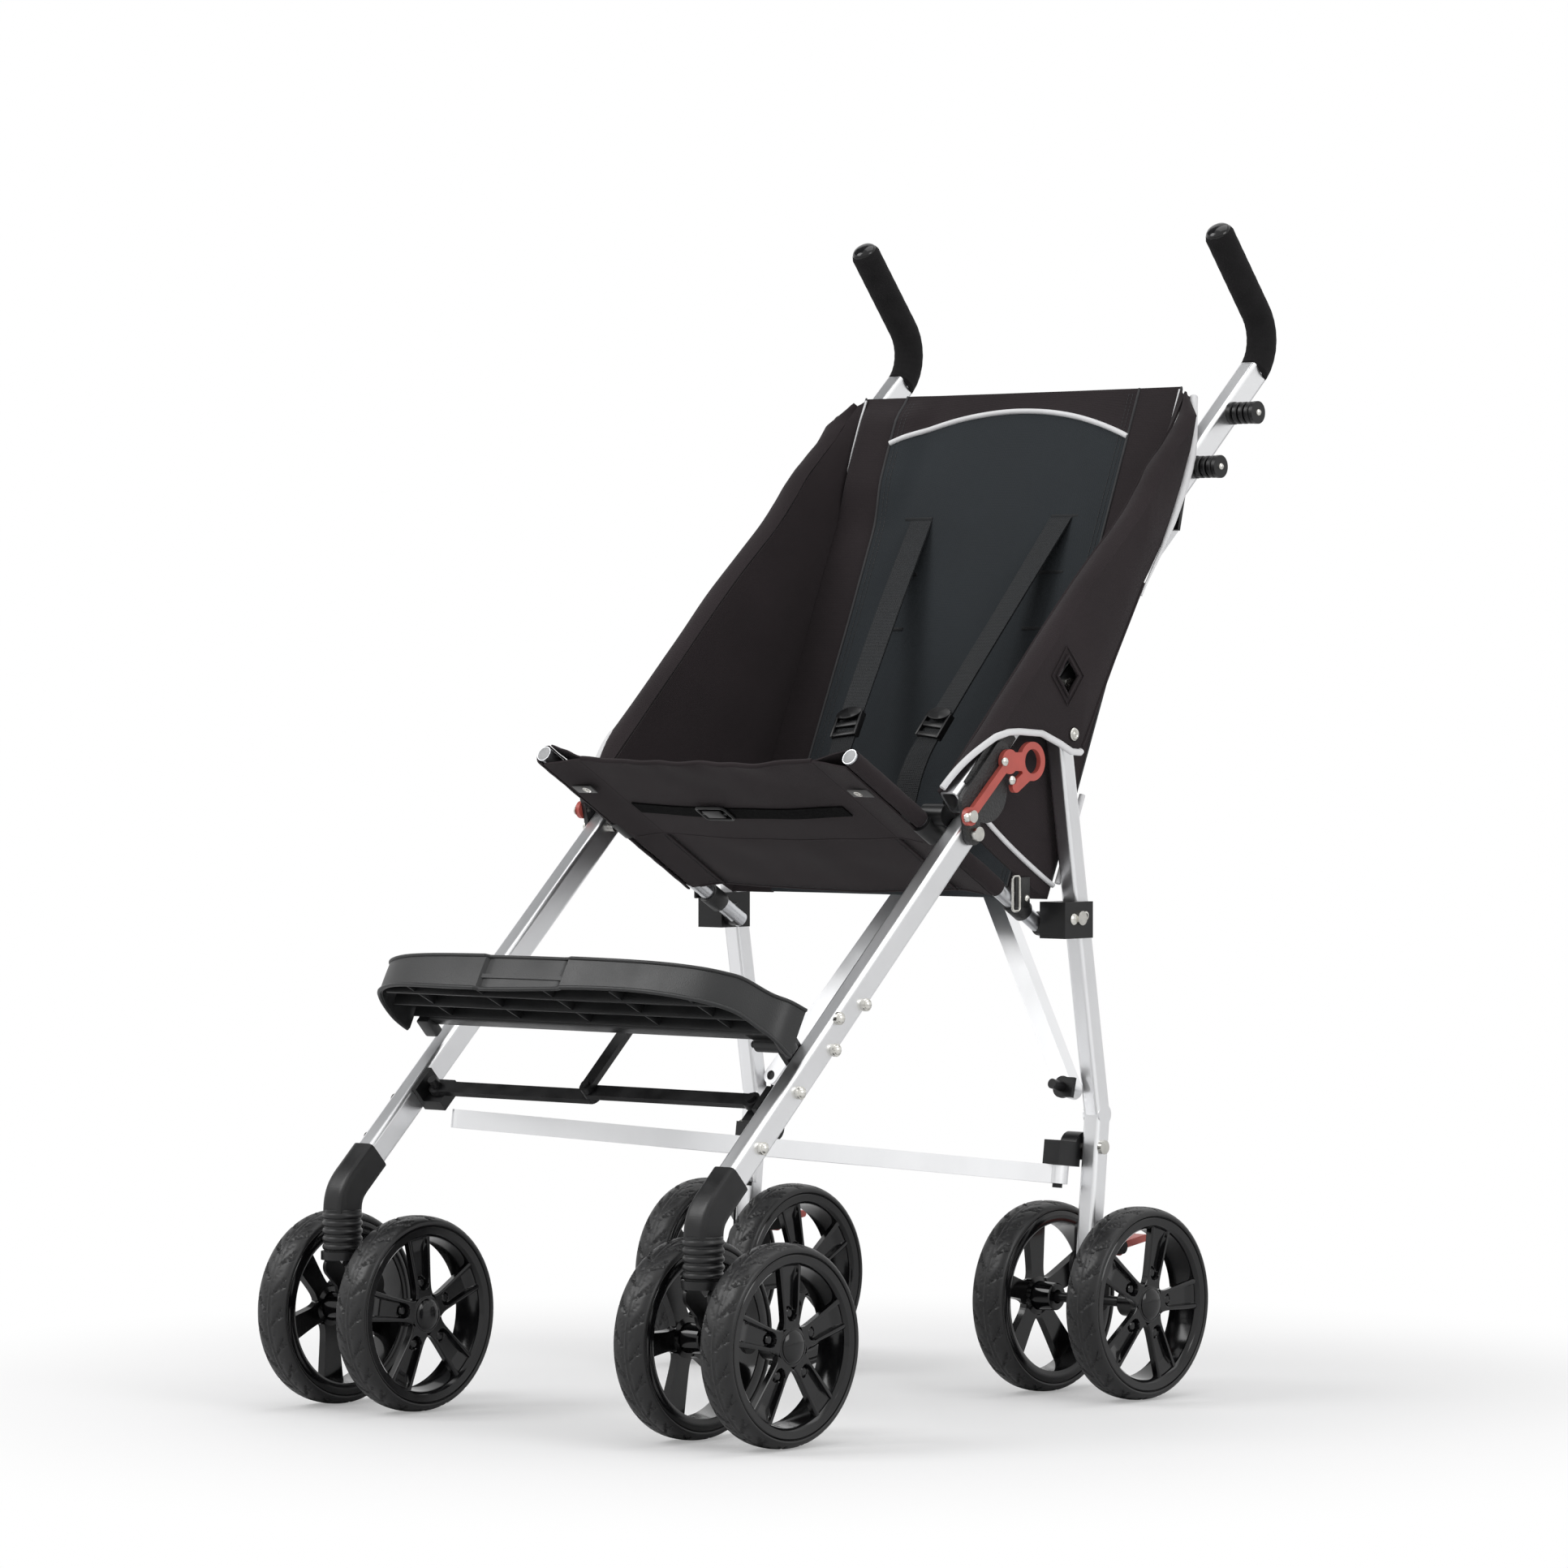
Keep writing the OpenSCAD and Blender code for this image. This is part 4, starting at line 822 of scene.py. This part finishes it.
def flapPoint(side, u, s):
    p = seatPoint(side * mix(seatSpec["pocket"] - 2, seatSpec["edge"], u), s)
    rise = ease(-0.15, 1.1, u) * 20 + 2 * noise.noise(Vector((u * 2, s / 24, side)))
    return p - underside * rise


def railPoint(side, out, up, s):
    return Vector((side * (seatSpec["railX"] + out), *seatSpec["rail"])) + downRail * s - underside * up


def sleevePoint(side, u, s):
    angle = math.pi * (0.5 - u)
    r = seatSpec["sleeve"] + 0.5 * noise.noise(Vector((s / 12, u * 3, side)))
    return railPoint(side, r * math.cos(angle), r * math.sin(angle), s)


def onSeat(x, s, lift):
    axes = Matrix((Vector((-1, 0, 0)), downRail, underside)).transposed()
    return Matrix.Translation(seatPoint(x, s, lift)) @ axes.to_4x4()


edge = seatSpec["edge"]
seam = seatSpec["seam"]
rear = seatSpec["to"]
clothSheet("seatFront", lambda u, v: seatPoint(mix(-edge, edge, u), mix(seatSpec["from"], seam, v)), 72, 36,
           2.0, sideCloth, "left_frame", seatFold, ["seat_sling"])
clothSheet("seatRear", lambda u, v: seatPoint(mix(-edge, edge, u), mix(seam - 8, rear, v), -2.4), 72, 26,
           2.0, sideCloth, "left_frame", seatFold)

seatTrim = bmesh.new()
joinTo(seatTrim, tubeAlong(sampled(lambda x: seatPoint(x, 4, -0.5), -150, 150, 80), 2.6, 12))
joinTo(seatTrim, tubeAlong(sampled(lambda x: seatPoint(x, seam, 1.0), -186, 186, 60), 1.6, 8))
joinTo(seatTrim, tubeAlong(sampled(lambda x: seatPoint(x, rear - 1, -1.6), -186, 186, 60), 2.2, 8))
for side in (-1, 1):
    line = sampled(lambda s: seatPoint(side * seatSpec["pocket"], s, 1.0), 4, 256, 60)
    joinTo(seatTrim, tubeAlong(line, 1.3, 8))
squashTo(finishPiece("seatHems", seatTrim, sideCloth, "left_frame", 50))
seatThread = bmesh.new()
for side in (-1, 1):
    for x in (147, 157):
        line = sampled(lambda s: seatPoint(side * x, s, 1.6), 10, 255, 60)
        stitchesAlong(seatThread, line, radius=0.4, **stitch)
for s in (seam - 6, rear - 8):
    line = sampled(lambda x: seatPoint(x, s, 1.6), -170, 170, 60)
    stitchesAlong(seatThread, line, radius=0.4, **stitch)
squashTo(finishPiece("seatStitches", seatThread, seamThread, "left_frame", 50))
clothSheet("seatTape", lambda u, v: seatPoint(mix(-146, 130, u), mix(86, 104, v), 2.4), 60, 6, 1.4, loopTape,
           "left_frame", seatFold)

slide = tubeAlong(roundedLoop(36, 22, 4), 1.7, 10)
joinTo(slide, tubeAlong([(-16, 0, 0), (16, 0, 0)], 1.6, 10))
joinTo(slide, roundedBox((23, 13, 2.4), 0.9), Matrix.Translation((0, -1, 1.4)))
placed(slide, onSeat(-36, 92, 5.6))
squashTo(finishPiece("seatSlide", slide, mouldedBlack, "left_frame", 40))

for tag, side in sides:
    body = f"{tag}_frame"
    gapFrom, gapTo = seatSpec["sleeveGap"]
    for part, low, high in (("front", seatSpec["from"], gapFrom), ("rear", gapTo, rear)):
        clothSheet(f"sleeve_{part}_{tag}", lambda u, v: sleevePoint(side, u, mix(low, high, v)), 16, 30, 1.8,
                   sideCloth, body)
        clothSheet(f"flap_{part}_{tag}", lambda u, v: flapPoint(side, u, mix(low, high, v)), 12, 26, 1.6,
                   sideCloth, "left_frame", seatFold)
    tab = roundedBox((26, 13, 1.8), 0.8, onSeat(side * 180, 52, 4.2))
    squashTo(finishPiece(f"snapTab_{tag}", tab, tabLeather, "left_frame", 40))
    snap = dome(3.4, 1.8)
    joinTo(snap, turned([(3.4, 0), (4.6, 0), (4.6, 0.7), (3.4, 0.9)], 24, loop=True))
    placed(snap, onSeat(side * 177, 52, 5.1))
    squashTo(finishPiece(f"snapCap_{tag}", snap, zincBolt, "left_frame", 40))
    plug = turned([(0, 1.4), (5.4, 1.2), (7.3, 0.5), (7.9, -0.6), (7.9, -1.6)], 32)
    placed(plug, aimed(railPoint(side, 0, 0, 0.4), -downRail))
    finishPiece(f"railPlug_{tag}", plug, plugGrey, body, 40)
    collar = turned([(8.4, -11), (10.2, -11), (10.8, -10), (10.8, 10), (10.2, 11), (8.4, 11)], 32, loop=True)
    placed(collar, aimed(railPoint(side, 0, 0, seatSpec["collar"]), downRail))
    joinTo(collar, roundedBox((2.4, 22, 30), 1, Matrix.Translation((side * 210.4, 180, 500))))
    finishPiece(f"railCollar_{tag}", collar, strapLeather, body, 40)
    stud = placed(dome(3.6, 2.2), aimed((side * 211.4, 186, 494), (side, 0, 0)))
    if side > 0:
        loop = tubeAlong(roundedLoop(11, 34, 3), 1.3, 8)
        joinTo(stud, loop, aimed((212.4, 168, 499), (1, 0, 0), (0, 1, 0)))
    finishPiece(f"collarBuckle_{tag}", stud, zincBolt, body, 40)
print("seat")


# Harness: two shoulder straps from slots in the back, each with a slide buckle
strapSpec = {"half": 14, "thick": 1.8, "slotX": 96, "slots": ((874, 36), (817, 34), (760, 34)),
             "path": [(92, 390, 872), (78, 320, 780), (58, 234, 664), (50, 206, 618), (40, 190, 552),
                      (38, 150, 505)]}
for tag, side in sides:
    line = curveThrough(strapSpec["path"], 61)

    def strapPoint(u, v):
        p = pointAt(line, v)
        w = mix(-strapSpec["half"], strapSpec["half"], u)
        twist = 0.12 * math.sin(v * 6.6) * side
        sway = w * math.sin(twist)
        return Vector((side * p.x + w * math.cos(twist), p.y - sway * 0.6, p.z + sway * 0.3))

    clothSheet(f"shoulderStrap_{tag}", strapPoint, 8, 60, strapSpec["thick"], webbing, "left_frame",
               backFold, ["harness"])
    slots = bmesh.new()
    for z, wide in strapSpec["slots"]:
        spot = backPoint(side * strapSpec["slotX"], backShare(z)) + Vector((0, -2.4, 0))
        joinTo(slots, roundedBox((wide, 2.4, 4.0), 0.8, Matrix.Translation(spot)))
    squashTo(finishPiece(f"strapSlots_{tag}", slots, webbing, "left_frame", 40))
    place = aimed((side * 57, 233, 660), (side * 20, 84, 116), (1, 0, 0))
    buckle = bmesh.new()
    for x in (-14.5, 14.5):
        joinTo(buckle, roundedBox((3.4, 8, 30), 1.2), place @ Matrix.Translation((x, -3.4, 0)))
    for z, size in ((-12, 5), (0, 6), (11, 6)):
        joinTo(buckle, roundedBox((29, 4.5, size), 1.4), place @ Matrix.Translation((0, -4.6, z)))
    lip = turned([(0, 1.5), (13, 1.5), (14.6, 0.6), (14.6, -0.6), (13, -1.5), (0, -1.5)], 48)
    bmesh.ops.scale(lip, vec=(1, 0.62, 1), verts=lip.verts)
    lean = Matrix.Rotation(math.pi / 2 - 0.25, 4, "X")
    joinTo(buckle, lip, place @ Matrix.Translation((0, -7.2, 13)) @ lean)
    squashTo(finishPiece(f"strapBuckle_{tag}", buckle, mouldedBlack, "left_frame", 40))
print("harness")

# Footplate: a curved skirt with two steps, a deck, ribs under it and the hinge lug
plateSpec = {"hinge": (0, -182.65, 364.98), "tilt": 26, "top": 36, "deck": 17, "deckX": (-248, 243),
             "rows": ((-84, -232, 196), (-54, -249, 230), (-26, -246, 244)), "lugX": 200.5,
             "cross": (-194, -102.5, -10.5, 78, 169), "dropRight": 14, "dropLeft": 24}
legDirection = Vector((0, 0.7314, 0.682))
onPlate = Matrix.Translation(plateSpec["hinge"]) @ Matrix.Rotation(math.radians(-plateSpec["tilt"]), 4, "X")
outline = curveThrough([(-252, -22, 0), (-256, -46, 0), (-252, -70, 0), (-236, -88, 0), (-196, -101, 0),
                        (-120, -107, 0), (0, -109, 0), (110, -106, 0), (170, -97, 0), (204, -82, 0),
                        (230, -60, 0), (245, -44, 0), (250, -23, 0)], 241)


def skirtPoint(u, v):
    p = pointAt(outline, u)
    step = 3 * (ease(-90, -85, p.x) - ease(13, 14.5, p.x)) + 3.5 * math.exp(-((p.x + 88) / 2.0) ** 2)
    drop = plateSpec["dropRight" if p.x < 0 else "dropLeft"] * ease(-88, -18, p.y) * ease(190, 235, abs(p.x))
    low = 4 - drop + 2.5 * math.sin(p.x / 60) * ease(250, 200, abs(p.x))
    top = plateSpec["top"] - 8 * ease(205, 240, p.x)
    return Vector((p.x, p.y + step + 1.6 * v * v, mix(low, top, v)))


def frontAt(x):
    return np.interp(x, [p.x for p in outline[20:221]], [p.y for p in outline[20:221]])


def deckPoint(u, v):
    x = mix(*plateSpec["deckX"], u)
    return Vector((x, mix(frontAt(x) + 2, -22, v), plateSpec["deck"]))


plate = bentGrid(skirtPoint, 420, 8, 3.2)
for v, radius in ((0, 2.1), (1, 1.8)):
    joinTo(plate, tubeAlong(sampled(lambda u: skirtPoint(u, v), 0, 1, 260), radius, 10))
joinTo(plate, bentGrid(deckPoint, 80, 12, 4))
for y, left, right in plateSpec["rows"]:
    joinTo(plate, roundedBox((right - left, 2, 14), 0.7, Matrix.Translation(((left + right) / 2, y, 9))))
for x in plateSpec["cross"]:
    for low, high in ((frontAt(x) + 3, -84), (-84, -54), (-54, -26)):
        joinTo(plate, roundedBox((2, high - low, 12), 0.7, Matrix.Translation((x, (low + high) / 2, 10))))
joinTo(plate, roundedBox((478, 15, 5), 1.4, Matrix.Translation((0, -18.5, 2.5))))
joinTo(plate, roundedBox((32, 20, 5), 1.4, Matrix.Translation((plateSpec["lugX"], -15, 2.5))))
joinTo(plate, turned([(3.9, -17), (6.4, -17), (7, -16.4), (7, 16.4), (6.4, 17), (3.9, 17)], 32, loop=True),
       aimed((plateSpec["lugX"], 0, 0), (1, 0, 0), (0, 1, 0)))
placed(plate, onPlate)
for side in (-1, 1):
    joinTo(plate, roundedBox((16, 22, 11), 2, aimed((side * 231, -198.4, 369.2), legDirection)))
tray = finishPiece("footTray", plate, footplateBlack, "plate", 38)
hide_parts("footplate")
print("footplate")

# Caster sockets: a square sleeve on each leg's end, bent down into the boot
elbowSpec = {"line": ((-277.7, 246.9), (-287.2, 238.1), (-297.4, 228.6), (-305.4, 221), (-311.4, 213.4),
                      (-314.8, 205), (-316, 197), (-316, 192)), "depth": 15.6, "flat": 0.84,
             "foot": (-316, 196), "lip": [(0, 0), (17.4, 0), (18, -0.6), (18, -3), (0, -3)]}
for tag, side in sides:
    line = curveThrough([(side * frameHalf, y, z) for y, z in elbowSpec["line"]], 40)
    elbow = tubeAlong(line, elbowSpec["depth"], 48, elbowSpec["flat"], 8)
    foot = Matrix.Translation((side * frameHalf, *elbowSpec["foot"]))
    joinTo(elbow, turned(elbowSpec["lip"], 40), foot)
    socket = finishPiece(f"socketElbow_{tag}", elbow, mouldedBlack, f"{tag}_leg", 40)
    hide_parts(f"caster_socket_{tag}")
print("caster sockets")

# Ribs round the accessory spools, and a plate over the tube beside each fold lock
spoolSpec = {"spots": ((475.1, 977.2), (412.9, 921.3)), "inner": 5.8, "outer": 11.2, "half": 2.7,
             "ribs": (253.6, 261, 268.4), "screwX": 277, "screwRadius": 3.4}
coverSpec = {"middle": (88, 631), "size": (27, 1.6, 84), "x": 244.6}
for tag, side in sides:
    ribs = bmesh.new()
    r0, r1, h = spoolSpec["inner"], spoolSpec["outer"], spoolSpec["half"]
    profile = [(r0, -h), (r1 - 1, -h), (r1, 1 - h), (r1, h - 1), (r1 - 1, h), (r0, h)]
    for y, z in spoolSpec["spots"]:
        for x in spoolSpec["ribs"]:
            joinTo(ribs, turned(profile, 36, loop=True), aimed((side * x, y, z), (1, 0, 0), (0, 1, 0)))
    finishPiece(f"spoolRibs_{tag}", ribs, mouldedBlack, f"{tag}_frame", 40)
    place = aimed((side * coverSpec["x"], *coverSpec["middle"]), (0, 0.71, 0.704), (0, -0.704, 0.71))
    cover = roundedBox(coverSpec["size"], 0.7, place)
    finishPiece(f"lockCover_{tag}", cover, crackleBlack, f"{tag}_frame", 40)
print("spools")


# Rivets, screws and washers on the mouldings
legFront = Vector((0, -0.682, 0.7314))


def legSpot(s, back):
    p = Vector((0, -297.44, 228.55)) + legDirection * s - legFront * back
    return p.y, p.z


# Along the leg from its socket, and behind its middle; the last is on the left leg alone
legBolts = ((263, 9), (227, -9), (203, 9), (140, 2), (68, 2))
spoolScrew = ("dome", spoolSpec["screwRadius"], spoolSpec["screwX"])
studs = {
    "leg": [("bolt", 6.2, 244, *legSpot(s, back)) for s, back in legBolts],
    "lever": [("dome", 4.6, 255, 98, 629), ("dome", 4.6, 255, 109, 611), ("dome", 4.6, 255, 41, 576)],
    "frame": [("dome", 5.6, 241, 223, 473), ("ring", 4.4, 241, 241, 476),
              *((*spoolScrew, *spot) for spot in spoolSpec["spots"])],
}
for tag, side in sides:
    for part, spots in studs.items():
        heads = bmesh.new()
        for kind, r, x, y, z in spots if side > 0 or part != "leg" else spots[:4]:
            if kind == "bolt":
                head = turned([(0, 7.4), (2.4, 7.0), (4.2, 5.6), (4.8, 4.3), (r - 0.4, 4.2), (r, 3.6),
                               (r, 0)], 28)
            elif kind == "dome":
                head = dome(r, 2.6)
            else:
                head = turned([(r * 0.62, 0), (r, 0), (r, 0.7), (r * 0.62, 0.9)], 28, loop=True)
            joinTo(heads, head, aimed((side * (x + 0.1), y, z), (side, 0, 0), (0, 1, 0)))
        finishPiece(f"studs_{part}_{tag}", heads, zincBolt, f"{tag}_{part}", 40)
print("studs")
